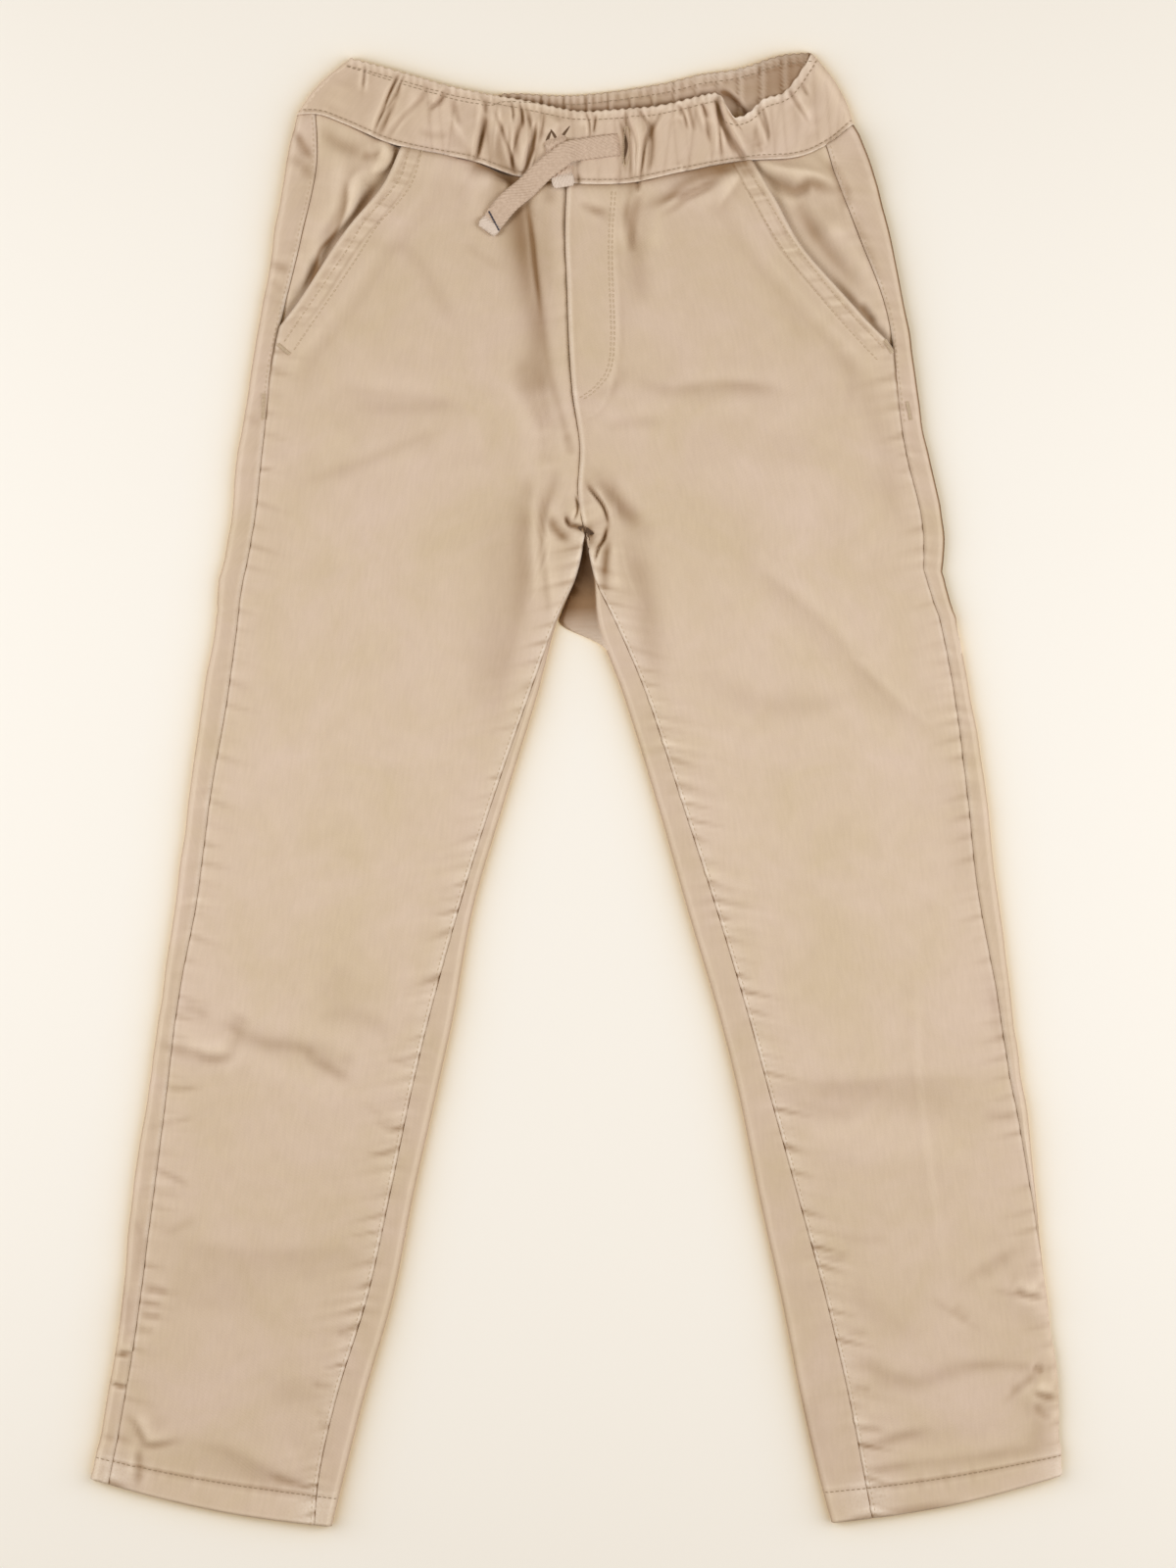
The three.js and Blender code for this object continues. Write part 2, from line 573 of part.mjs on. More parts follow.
function bandPoint(around, up, inside) {
  const section = bandSection(up);
  const stops = bandStops(section);
  const arc = stops[around % stops.length];
  const turn = arc > 1.5 * section.top ? arc - 2 * section.top : arc;
  const rightSide = turn <= section.top / 2;
  const fold = roundFold(rightSide ? turn : section.top - turn, FOLD_RADIUS, section.quarter);
  const fromFold = fold.distance + (inside ? fold.out * BAND : 0);
  const along = rightSide ? fromFold : section.width - fromFold;
  const x = section.startX + along;
  const seamRun = WAIST_SEAM[WAIST_SEAM.length - 1].x - WAIST_SEAM[0].x;
  const topRun = BAND_FRONT_TOP[BAND_FRONT_TOP.length - 1].x - BAND_FRONT_TOP[0].x;
  const share = along / section.width;
  const seamX = WAIST_SEAM[0].x + share * seamRun;
  const seamY = waistSeamY(seamX, fold.share) + waistGap(seamX, fold.share);
  const topX = BAND_FRONT_TOP[0].x + share * topRun;
  const frontY = curveY(BAND_FRONT_TOP, topX);
  const backY = curveY(BAND_BACK_TOP, topX);
  const topY = THREE.MathUtils.lerp(backY, frontY, fold.share);
  const y = THREE.MathUtils.lerp(seamY, topY, up);
  const front = BAND_REST + gatherHeight(x, up);
  const drift = BACK_GATHER_DRIFT * Math.sin(x / (2 * BACK_GATHER_PITCH));
  const wave = Math.cos((2 * Math.PI * x) / BACK_GATHER_PITCH + drift);
  const backInside = inside ? BACK_GATHER_HEIGHT * Math.max(0, wave) * (1 - fold.out) : 0;
  const lower = fold.up < 0 ? backInside : 0;
  const z = fold.share * front - (inside ? fold.up * BAND : 0) - lower;
  return new THREE.Vector3(x, y, z);
}

function waistband() {
  const around = bandStops(bandSection(0)).length;
  const loop = 2 * BAND_ROWS + 2;
  const torus = new THREE.TorusGeometry(1, 0.4, loop, around);
  return shaped(torus, (x, y, z, u, v) => {
    const step = Math.round(v * loop) % loop;
    const inside = step > BAND_ROWS;
    const row = inside ? 2 * BAND_ROWS + 1 - step : step;
    return bandPoint(Math.round(u * around), row / BAND_ROWS, inside);
  });
}

// ---- Drawcord ----

function cordEnd(points) {
  const curve = new THREE.CatmullRomCurve3(
    points.map((point) => new THREE.Vector3(point.x, point.y, point.z)),
    false,
    'centripetal',
  );
  const steps = Math.ceil(curve.getLength() / TAPE_STEP);
  const tape = new THREE.BoxGeometry(1, 1, 1, 4, steps, 1);
  return shaped(tape, (u, v, side) => {
    const point = curve.getPointAt(v);
    const along = curve.getTangentAt(v);
    const across = new THREE.Vector3(along.y, -along.x, 0).normalize();
    const crown = 1 - 0.35 * (2 * u - 1) ** 4;
    const height = side > 0.5 ? TAPE_THICKNESS * crown : 0;
    return point.addScaledVector(across, (u - 0.5) * TAPE_WIDTH).setZ(point.z + height);
  });
}

// ---- The garment ----

function cloth(name, geometry, colour) {
  const material = new THREE.MeshStandardMaterial({ color: colour, roughness: 0.9, metalness: 0 });
  const mesh = new THREE.Mesh(geometry, material);
  mesh.name = name;
  return mesh;
}

const right = { sections: RIGHT_SECTIONS, fly: false };
const left = { sections: LEFT_SECTIONS, fly: true };

const trousers = new THREE.Group();
trousers.add(
  cloth('front_right', frontPanel(right), COLOURS.twill),
  cloth('front_left', frontPanel(left), COLOURS.twill),
  cloth('back_right', backPanel(right), COLOURS.worn),
  cloth('back_left', backPanel(left), COLOURS.worn),
  cloth('pocket_right', pocketBack(right), COLOURS.worn),
  cloth('pocket_left', pocketBack(left), COLOURS.worn),
  cloth('fly_facing', flyFacing(left), COLOURS.twill),
  cloth('waistband', waistband(), COLOURS.band),
  cloth('drawcord_left_end', cordEnd(LEFT_CORD), COLOURS.tape),
  cloth('drawcord_right_end', cordEnd(RIGHT_CORD), COLOURS.tape),
);

export default trousers;
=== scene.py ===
"""Children's pull-on trousers in khaki cotton twill, laid flat with the front up.

The shells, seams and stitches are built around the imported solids. Lengths in the tables
are millimetres on the frame's own axes: +Z up, +Y to the waist, +X to the wearer's left.
"Right" and "left" are the wearer's.
"""

import math

import bmesh
import bpy
import numpy as np
from bpy.props import FloatProperty, FloatVectorProperty, PointerProperty
from mathutils import Matrix, Vector
from mathutils.bvhtree import BVHTree


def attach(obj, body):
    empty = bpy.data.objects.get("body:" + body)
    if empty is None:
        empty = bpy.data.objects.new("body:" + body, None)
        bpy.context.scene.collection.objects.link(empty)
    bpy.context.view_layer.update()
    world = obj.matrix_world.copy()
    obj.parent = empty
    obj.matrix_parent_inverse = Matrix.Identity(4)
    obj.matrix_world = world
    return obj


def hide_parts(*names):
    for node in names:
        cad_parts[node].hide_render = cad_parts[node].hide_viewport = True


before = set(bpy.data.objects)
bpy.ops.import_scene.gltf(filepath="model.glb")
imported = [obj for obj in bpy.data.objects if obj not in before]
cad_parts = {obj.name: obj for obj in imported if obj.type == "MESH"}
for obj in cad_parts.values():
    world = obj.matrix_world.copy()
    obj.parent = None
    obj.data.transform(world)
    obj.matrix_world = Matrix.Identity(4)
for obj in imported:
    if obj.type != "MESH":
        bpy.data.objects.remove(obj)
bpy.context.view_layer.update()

bl_info = {
    "name": "Pull-on Trousers",
    "version": (1, 0, 0),
    "blender": (4, 5, 0),
    "location": "View3D > Sidebar > Trousers",
    "description": "Builds twill trousers with a drawcord, laid flat, around their solids",
    "category": "Object",
}

MM = 0.001

# Heights of the laid cloth and the roundness of its folds.
FLAT_HEIGHT = 2.7
REST_HEIGHT = 6.0
FOLD_HEIGHT = 7.4
HIGHEST = 15.0
RELIEF = 1.35
FOLD_RADIUS = 3.0
FOLD_SPREAD = 22.0
CROTCH_RISE = 5.0
QUARTER = math.pi / 2

# Seams, and the steps between the rows of a panel near its seams and on the plain legs.
SEAM_GAP = 0.06
WAIST_GAP = 0.4
WAIST_BOW_END = 2.5
CLOSE_STEP = 1.6
PLAIN_STEP = 2.0
CROTCH_STEP = 1.05

# Hems: the turning's width, its row of stitches, the step at its top, its lower edge's bow,
# and the single cloth's thickness as a share of the turned hem's.
HEM_WIDTH = 15.0
HEM_ROW = HEM_WIDTH - 1
HEM_STEP = 0.6
HEM_BOW = 4.0
SINGLE_WALL = 0.6

# Places of the crotch and the hem in the sections below.
CROTCH = 7
HEM = 19

# Pocket: how far its back reaches under the front, where it ends, how far it lifts the front,
# how that lift fades, and the two rows of stitches beside its mouth.
POCKET_UNDERLAP = 18.0
POCKET_BOTTOM = 3.5
POCKET_LIFT = 2.1
POCKET_FADE = 12.0
POCKET_ROWS = (4.6, 11.4)

# Mock fly: its facing's width, where its edge starts to bend and where it ends, and its lift.
FLY_WIDTH = 24.0
FLY_STRAIGHT = 2.2
FLY_BOTTOM = 4.0
FLY_LIFT = 0.9

# Waistband: its thickness and height, how high it lies, how far its ends swell, and how much
# longer its cloth is than the band.
BAND_WALL = 2.2
BAND_TALL = 38.0
BAND_REST = 6.6
BAND_END_BOW = 3.5
GATHER = 1.25

# The tape: the distance between its points, and how deep it dips into its buttonhole.
TAPE_STEP = 1.0
TAPE_DIP = 3.0

# Sizes of the lattices that the seeded noise is read from.
LINE_CELLS = 997
ROW_CELLS, COLUMN_CELLS = 61, 67

# The camera's view: its middle and its height. Surfaces are looked for from above them. In
# metres.
VIEW_MIDDLE = (0.0064, 0.0032, 0.004)
VIEW_TALL = 0.848
LOOK_FROM = 0.05

# The pieces that form the upper surface.
UPPER = (
    "front_right_cloth",
    "front_left_cloth",
    "back_right_cloth",
    "back_left_cloth",
    "pocket_right_cloth",
    "pocket_left_cloth",
    "waistband_cloth",
)

# Sections from the waist to the hem: outer fold, inner fold or centre seam, and the lengths
# of cloth from the folds to the side seam, the inseam and the pocket's mouth.
SECTION = ("outer_x", "outer_y", "inner_x", "inner_y", "side", "inseam", "mouth")
RIGHT_SECTIONS = (
    (-151, 365, -5, 328, 12, 0, 60), (-156, 340, -6, 300, 18, 0, 54), (-163, 303, -5, 273, 17, 0, 37),
    (-169, 266, -4, 244, 14, 0, 21), (-175, 226, -2, 215, 12, 0, 1), (-183, 181, 2, 186, 15, 0, 0),
    (-187, 146, 1, 160, 15, 0, 0), (-192, 117, 5, 137, 15, 0, 0), (-194, 102, 0, 115, 14, 1, 0),
    (-196, 86, -11, 89, 14, 2, 0), (-202, 48, -22, 48, 15, 6, 0), (-209, -5, -40, -10, 13, 8, 0),
    (-216, -58, -56, -65, 13, 9, 0), (-224, -111, -66, -120, 11, 14, 0),
    (-231, -156, -76, -166, 12, 15, 0), (-238, -206, -88, -219, 13, 14, 0),
    (-244, -259, -99, -274, 12, 15, 0), (-250, -310, -114, -326, 11, 16, 0),
    (-257, -349, -125, -369, 11, 15, 0), (-263, -372, -132, -398, 12, 11, 0),
)
LEFT_SECTIONS = (
    (150, 360, -5, 328, 17, 0, 58), (159, 340, -6, 300, 20, 0, 56), (170, 300, -5, 273, 18, 0, 49),
    (178, 260, -4, 244, 12, 0, 27), (184, 222, -2, 215, 13, 0, 2), (191, 181, 2, 186, 14, 0, 0),
    (198, 146, 1, 160, 13, 0, 0), (198, 118, 5, 137, 12, 0, 0), (202, 102, 9, 115, 11, 2, 0),
    (206, 86, 12, 88, 10, 12, 0), (213, 48, 26, 50, 10, 14, 0), (222, -5, 44, -8, 12, 15, 0),
    (228, -58, 60, -64, 12, 17, 0), (235, -111, 77, -121, 9, 17, 0), (241, -156, 88, -165, 8, 18, 0),
    (247, -206, 99, -220, 5, 22, 0), (253, -259, 111, -275, 1, 25, 0),
    (259, -310, 121, -326, -3, 27, 0), (261, -349, 130, -366, -4, 26, 0),
    (263, -370, 138, -396, -4, 24, 0),
)
# The waist seam on the upper and on the lower cloth, and the band's upper edges.
WAIST_SEAM = (
    (-151, 365), (-139, 365), (-125, 360), (-99, 349), (-56, 340), (-32, 332), (-5, 328), (27, 328),
    (57, 334), (91, 340), (119, 342), (136, 349), (150, 360),
)
BACK_WAIST_SEAM = (
    (-151, 365), (-115, 357), (-60, 346), (-5, 341), (60, 344), (115, 353), (150, 360),
)
BAND_FRONT_TOP = (
    (-123, 395), (-101, 389), (-66, 379), (-25, 371), (0, 366), (27, 367), (46, 369), (72, 375),
    (78, 374), (84, 363), (92, 364), (101, 372), (112, 376), (119, 384), (128, 398),
)
BAND_BACK_TOP = (
    (-123, 395), (-84, 382.5), (-50, 374), (-38, 376), (0, 375), (46, 381), (67, 386), (88, 389),
    (110, 396), (128, 398),
)

# Broad folds of the laid cloth: a crest or, where the height is negative, a trough, as its
# height, half width, lean and points (x, y, x, y and on). It is steeper on its left where the
# lean is positive.
FOLDS = (
    (-1.4, 6, 0, -21, 312, -14, 185), (1.4, 8, 0, -30, 330, -27, 270), (-1, 5, 0, 35, 325, 32, 285),
    (1.1, 7, 0, 45, 322, 42, 290), (1.6, 6, 0, 92, 338, 62, 312), (1.1, 6, 0, -58, 336, -54, 305),
    (1.4, 7, 0, -128, 348, -124, 300), (-1, 5, 0, -142, 345, -146, 310),
    (1.4, 6, 0, 112, 336, 146, 322), (-1, 6, 0, 118, 322, 134, 296), (2.1, 6, 0, 7, 164, 17, 146),
    (-1.2, 7, 0, -16, 152, -10, 118), (-1, 6, 0, 22, 140, 16, 108), (-1, 11, 0, 82, 128, 181, 30),
    (1.1, 14, 0, 92, 150, 186, 66), (-0.9, 14, 0, -150, 205, -40, 176),
    (-0.8, 14, 0, 50, 196, 165, 178), (1.3, 22, 0, -60, 100, -78, -20), (1.1, 20, 0, 60, 60, 96, -60),
    (1.1, 7, 0, -216, -139, -182, -142), (-1, 9, 0, -180, -132, -118, -158),
    (-1, 12, 0, 108, -160, 226, -182), (1.1, 12, 0, 112, -184, 216, -202),
    (1.3, 15, 0, -212, -262, -130, -276), (1.1, 6, 0, -236, -336, -228, -356),
    (-0.9, 8, 0, -222, -358, -150, -380), (1.8, 7, 0, 238, -270, 256, -282),
    (1.8, 7, 0, 236, -318, 254, -330), (-0.9, 8, 0, 160, -356, 236, -342),
)
# Creases, in the same form: of the upper cloth, of the strips and side panels beside the
# pockets, of the waistband and of the lower cloth.
CREASES = (
    (3, 9, 0.55, -55.1, 336, -46.6, 330.7, -36, 323.3, -27.6, 314.8),
    (-1.2, 3.5, 0, -58.3, 338.1, -46.6, 335, -30.7, 328.6),
    (1.9, 9, -0.5, -32.3, 321.2, -26.9, 316.7, -24.4, 298.9, -23.1, 286.2, -20.9, 267.1, -19.6, 252.3),
    (1.2, 8, -0.5, -20.1, 252.3, -17, 231.1, -13.8, 212.5, -10.6, 194),
    (-1.5, 1.6, 0, -28.5, 321.2, -26.3, 314.8, -23.4, 295.7, -22.2, 283, -19.9, 263.9, -19, 252.3),
    (-1.6, 2.6, 0, -45, 333.9, -37.1, 329.9, -31.4, 322, -28.5, 316.7),
    (-1.6, 3.2, 0, 28.9, 321.2, 27.5, 313.2, 28.1, 302.1, 30.5, 289.4),
    (-1.4, 1.6, 0, 32.9, 330.7, 33.5, 326.7, 32.9, 322.5),
    (-1.5, 2.6, 0, 79.8, 331.5, 69.4, 326.7, 58.3, 322, 50.7, 319.3, 42.4, 314.8),
    (-0.8, 2.6, 0, 1.1, 318, 7.4, 314, 17, 311.3),
    (1.6, 6, 0.6, 33.4, 328.6, 29.2, 318, 27, 304.2, 26, 289.4),
    (1.8, 6, 0.6, 77.9, 333.4, 67.3, 328.1, 57.2, 323.3, 50.9, 318, 42.4, 313.8),
    (1.2, 4, 0.4, 89.6, 337.1, 84.3, 326.5, 78.4, 319.1, 74.2, 312.7),
    (-0.5, 3, 0, 6.4, 314.8, 15.9, 309.5, 21.2, 307.4),
    (0.8, 10, 0, 40.3, 314.8, 44.5, 289.4, 42.4, 257.6),
    (-1.6, 6, 0, -35.5, 230, -25.4, 214.1, -17, 198.2, -14.8, 187.6),
    (-0.7, 12, 0, 36, 146.3, 40.3, 119.8, 44.5, 88, 48.8, 56.2),
    (-0.9, 9, 0.3, -136.7, 216.2, -110.2, 213.1, -78.4, 208.8, -51.9, 202.5),
    (0.7, 12, 0, -152.6, 194, -120.8, 187.6, -78.4, 178.1),
    (-0.8, 6, 0.2, 54.1, 220.5, 67.8, 214.1, 85.9, 217.3, 112.4, 215.2),
    (-0.5, 4, 0, 12.7, 194, 27.6, 198.2, 48.8, 199.3),
    (-0.9, 7, 0.3, 81.6, 128.8, 107.1, 109.2, 133.6, 85.9, 160.1, 56.2, 181.3, 29.7),
    (0.6, 8, 0, 91.2, 130.4, 123, 106.5, 154.8, 73.1),
    (0.6, 14, 0, 59.4, 178.1, 101.8, 162.2, 144.2, 151.6),
    (-0.6, 10, 0, 144.2, 178.1, 165.4, 162.2, 186.6, 130.4),
    (-0.5, 12, 0, -179.1, 98.6, -152.6, 88, -110.2, 82.7),
    (-0.33, 10, 0, -216.2, -171.7, -195, -182.3, -163.2, -187.6),
    (-0.59, 10, 0.2, 117.7, -157.9, 154.8, -162.2, 197.2, -170.7, 218.4, -174.9),
    (0.39, 11.2, 0, 123, -176, 165.4, -182.3, 213.1, -190.8),
    (0.3, 3, 0, 184, -80, 185, -150, 192, -212, 201, -277),
    (-0.45, 15, 0, -205.6, -259.7, -173.8, -271.4, -131.4, -277.7),
    (0.33, 15, 0, -232.1, -230, -205.6, -241.7, -173.8, -241.7),
    (-0.26, 15, 0, 144.2, -235.3, 181.3, -230, 218.4, -238.5),
    (0.45, 10, 0, -189.7, -358.3, -168.5, -365.7, -147.3, -371),
    (-0.98, 3.2, 0, -232, -136.5, -216.8, -139.3, -207, -141.5, -197.7, -145, -187.1, -144.2, -182.9,
     -138.6), (0.3, 7, 0, -220, -135, -205.6, -137, -193, -138, -182, -132),
    (-0.59, 5, 0, -187.1, -132, -183.8, -126.7, -179.1, -120.7),
    (-0.72, 8.8, 0, -192, -124, -176.5, -132, -165.9, -136.6, -154, -138.6, -144.7, -137.9),
    (-0.59, 5.6, 0, -152.6, -134.6, -140.7, -139.3, -126.1, -146.5, -116.9, -150.5),
    (-0.65, 3.5, 0, -148.7, -143.9, -136.7, -149.2, -120.8, -157.1),
    (0.59, 5, 0, -144.7, -141.9, -134.1, -145.9, -123.5, -150.5),
    (0.45, 5, 0, -189.7, -158.5, -185.8, -149.2, -180.5, -135.9),
    (-0.45, 3.8, 0, -213.6, -116.7, -205.6, -118.7, -197.7, -124),
    (-0.45, 1.9, 0, -224, -161, -212.3, -161.4, -203, -160),
    (-0.38, 1.8, 0, -226, -179, -214.9, -179, -206, -177),
    (-0.45, 1.9, 0, -230, -204, -217.6, -208.8, -208, -214),
    (-0.45, 2, 0, -110, -178, -99.6, -183.6, -88, -184),
    (-0.4, 2, 0, -116, -195, -104.9, -196.9, -93, -199),
    (-0.35, 2, 0, -104, -144, -91.7, -147.9, -80, -152),
    (1.8, 4.5, -0.45, -8.4, 165.7, -12.5, 156.3, -14.6, 146.9, -15.3, 135.1, -14.6, 121, -12.7, 104.5,
     -11.3, 88),
    (-1, 5, 0, -11.3, 176.3, -12.5, 165.7, -15.8, 155.1, -17.8, 143.3, -18.8, 128, -18.4, 111.5),
    (1.2, 4, 0, -22.5, 170.4, -23.1, 155.1, -21.9, 138.6, -21.2, 118.6, -21.9, 99.8),
    (-1, 7, 0, -27.8, 170.4, -29, 144.5, -27.8, 118.6, -29, 92.7, -32.5, 69.1),
    (-1.3, 3, 0, -13.1, 148.6, -11.9, 143.3, -8.4, 138.6, -3.1, 135.1),
    (1.5, 5, 0, -7.8, 153.9, -1.9, 149.2, 0.5, 139.8, 3.4, 132.7),
    (-1.5, 0.9, 0, -0.9, 159.6, 0.9, 154.5, 0.5, 149.2, -2.1, 143.9),
    (-2.8, 1.3, 0, -5.7, 148.6, -4.9, 145.7, -3.3, 143.1, 0.5, 142.2, 4, 140.7),
    (-2.2, 1.5, 0, 4, 140.7, 6.9, 139.1, 9.7, 137.4), (1.5, 6, 0, 2.8, 155.1, 6.4, 148, 8.7, 142.2),
    (-2.4, 1.1, 0, 4.9, 165.9, 9.7, 159.8, 14.4, 153.3, 16.7, 146.9, 17.7, 141.5),
    (1.8, 3.2, 0, 6.9, 167.5, 12.8, 160.4, 17.5, 151.6, 19.3, 142.2),
    (-2.4, 1.1, 0, 17, 143.6, 15.1, 136.3, 11.5, 129.8, 9.9, 121.9),
    (1.2, 3, 0, 12.2, 138.6, 10.6, 132.7, 8.7, 125.7),
    (-1.2, 2, 0, 18.4, 135.1, 16.5, 126.8, 15.5, 115.1),
    (1.4, 4.5, 0, 21.1, 138.6, 20.7, 123.3, 24, 104.5),
    (-1.6, 5, 0, 12.8, 168.7, 19.3, 159.2, 27.6, 150.4, 35.8, 142.2),
    (-0.9, 8, 0, 26.4, 137.4, 34.6, 121, 38.2, 99.8, 40.5, 76.2),
    (-0.8, 6, 0, -17.2, 194, -15.8, 183.4, -16, 174), (-0.9, 3, 0, -6, 194, -3.7, 186.9, -1.9, 179.8),
    (-0.85, 2.4, 0, -233.6, -269.9, -226.8, -270.3, -219.4, -271.7),
    (-0.52, 2.4, 0, -234.8, -277.7, -228.6, -277.7, -223.3, -278.4),
    (-0.72, 2.4, 0, -235.7, -282.7, -230.4, -284.4, -223, -284.1),
    (-0.39, 2.4, 0, -236.6, -290.1, -232.1, -291.9, -226.8, -291.5),
    (-0.8, 2.4, 0, -244.2, -339.2, -238.3, -342.4, -235.3, -348.4, -232.1, -354, -223.3, -353.3,
     -213.6, -351.2),
    (0.7, 5, 0, -243.1, -334.3, -235.7, -338.7, -231.3, -345.7, -227.2, -350.2, -216.2, -348.4),
    (-1.04, 2.4, 0, -236.6, -355.5, -236, -364.3, -236.7, -376.7),
    (0.78, 3.8, 0, -239.2, -348.4, -239.2, -359, -239.9, -373.1),
    (-0.59, 5, 0, -196.8, -359, -186.2, -364.3, -168.5, -373.1, -150.9, -376.7, -140.3, -376.7),
    (-0.78, 2.4, 0, -168.5, -369.6, -152.6, -374.9, -142, -375.9),
    (0.45, 7.5, 0, -175.6, -350.2, -161.5, -357.2, -143.8, -362.5),
    (-0.59, 2.4, 0, -143.8, -320.1, -136.7, -321.9, -129.7, -322.2),
    (-0.45, 2.4, 0, -142, -336, -136.7, -337.4, -132.3, -337.8),
    (-0.45, 2.4, 0, -140.3, -341.3, -135.9, -342.4, -133.2, -342.4),
    (-0.52, 2.4, 0, -129.7, -293.6, -124.4, -294.5, -120.8, -294.7),
    (-1.23, 2.4, 0, 236.1, -269.3, 243.1, -272.7, 252, -272.9),
    (0.98, 4.5, 0, 235.6, -265.4, 243.8, -268.2, 252, -268.2),
    (-0.65, 4.2, 0, 216.4, -264.5, 225.6, -259.1, 235, -249.9),
    (-0.52, 3.8, 0, 201.8, -279.1, 207.3, -283.2, 211.9, -288.3),
    (-1.04, 2.4, 0, 246.5, -311.1, 249.7, -312.7, 252.9, -313.8),
    (-0.78, 3, 0, 232.9, -326.6, 240.2, -321.1, 248.4, -315.7),
    (-1.04, 2.4, 0, 246.5, -324.4, 252, -327, 259.5, -327.7),
    (0.98, 4.2, 0, 247.5, -321.1, 253.9, -323.7, 259.5, -324),
    (-0.78, 2.5, 0, 248.4, -330.3, 250.2, -335.7, 256.6, -340.3),
    (-0.33, 5, 0, 192.7, -312, 214.6, -311.3, 236.5, -310.5),
    (-0.52, 4.2, 0, 147, -309.4, 158, -310.2, 172.6, -317.5, 185.4, -315.7),
    (-0.65, 2.4, 0, 148, -324, 153.4, -323.7, 159.8, -325.1),
    (-0.59, 2.4, 0, 151.6, -346.3, 158, -345.2, 167.1, -346.7),
    (-0.52, 3.8, 0, 154.4, -355.8, 167.1, -352.2, 178.1, -349.4, 190.9, -350.3),
    (-0.59, 3, 0, 156.2, -369.5, 167.1, -367.1, 181.7, -365.3),
    (-0.45, 4.2, 0, 214.6, -361.3, 232.9, -357.6, 251.1, -354.9),
    (-0.45, 2.4, 0, 145.2, -293.7, 151.6, -293.4, 158, -294.7),
    (-0.45, 2.4, 0, 132.4, -252.7, 139.7, -253.6, 147, -251.8),
    (0.52, 3.8, 0, 256.6, -242.6, 252.9, -253.6, 253.3, -268.2),
)
SIDE_CREASES = (
    (3.2, 4, 0.5, -109.7, 348.9, -104.4, 348.9, -100.8, 345.7, -100.2, 340, -104.4, 336.5, -112, 334.1),
    (3.4, 4.4, -0.4, -112, 334.1, -117.3, 331.8, -120.3, 327.1, -122, 320, -123.5, 312.3, -128.5,
     303.5, -135, 295.3),
    (-2.6, 3.6, 0, -124.7, 331.2, -124, 322.4, -125.6, 314.1, -129.7, 305.9, -135, 298.2, -139.3,
     291.1),
    (-3.4, 4.6, 0, -109.7, 331.2, -113.2, 320, -117.9, 310.6, -125.6, 299.4, -133.2, 289.4, -137.7,
     282.3), (-2.6, 2.4, 0, -139.7, 289.4, -142.4, 279.4, -144, 271.7, -145.5, 265.8),
    (1.7, 8, 0.2, -135.6, 357.7, -130.3, 344.7, -128.3, 329.4, -133.2, 310.6, -140.3, 291.7, -147.3,
     272.9), (-1.3, 5, 0, -138.2, 360, -133.2, 352.7, -121.4, 348, -112, 350.2),
    (-1, 3, 0, -116.7, 343.6, -110.8, 341.8, -104.9, 342.4),
    (-1.6, 2.6, 0, -152.3, 356.5, -147.3, 345.9, -143.2, 340.6),
    (0.9, 4, 0, -156.2, 340, -152.1, 336.5, -146.2, 334.1),
    (-1, 3, 0, -166.2, 285.8, -161.5, 282.3, -155, 281.4),
    (-0.8, 3, 0, -165.6, 276.4, -161.5, 272.3, -157.9, 270.5),
    (-3, 3.6, 0, 95, 337.8, 104.9, 329.3, 116.2, 323.9, 121.9, 324.8, 127.6, 327.9, 137.4, 323.7,
     143.8, 322.5), (2.6, 4.4, 0.3, 91.1, 339.9, 110.6, 335, 127.6, 331.9, 142.4, 325.9),
    (-2.6, 2.4, 0, 135.3, 343.4, 141.7, 332.1, 145.9, 322.2, 147.6, 312.3),
    (1.8, 6, 0, 121.9, 322.9, 127.6, 319.4, 133.2, 309.5, 145.9, 296.8),
    (-1.7, 5, 0, 116.2, 318, 124.7, 306.7, 133.2, 294, 144.5, 279.8, 153, 269.9, 159.4, 261.2),
    (1.2, 6, 0.2, 133.2, 312.3, 144.5, 298.2, 155.8, 281.3, 164.3, 264.3),
    (-1.6, 2.4, 0, 153, 264.3, 157.9, 257.2, 162.2, 251.6),
    (1, 5, 0, 151.6, 351.9, 155.1, 343.4, 159.4, 332.1),
    (-0.8, 4, 0, 162.9, 326.5, 165.7, 318, 167.1, 309.5),
    (-2.2, 1.3, 0, -248.7, -303.9, -243.6, -304.2, -238.9, -303.5),
    (1, 3, 0, -248.9, -300.7, -243.6, -301, -238.5, -300.3),
    (-1.8, 1.4, 0, -251.2, -319.8, -246.3, -321.9, -241.3, -321.5),
    (-0.8, 2, 0, -256.9, -348.4, -251.6, -350.2, -248, -349.8),
    (0.7, 4, 0, -246.3, -276, -244.9, -288.3, -246.3, -300.7),
)
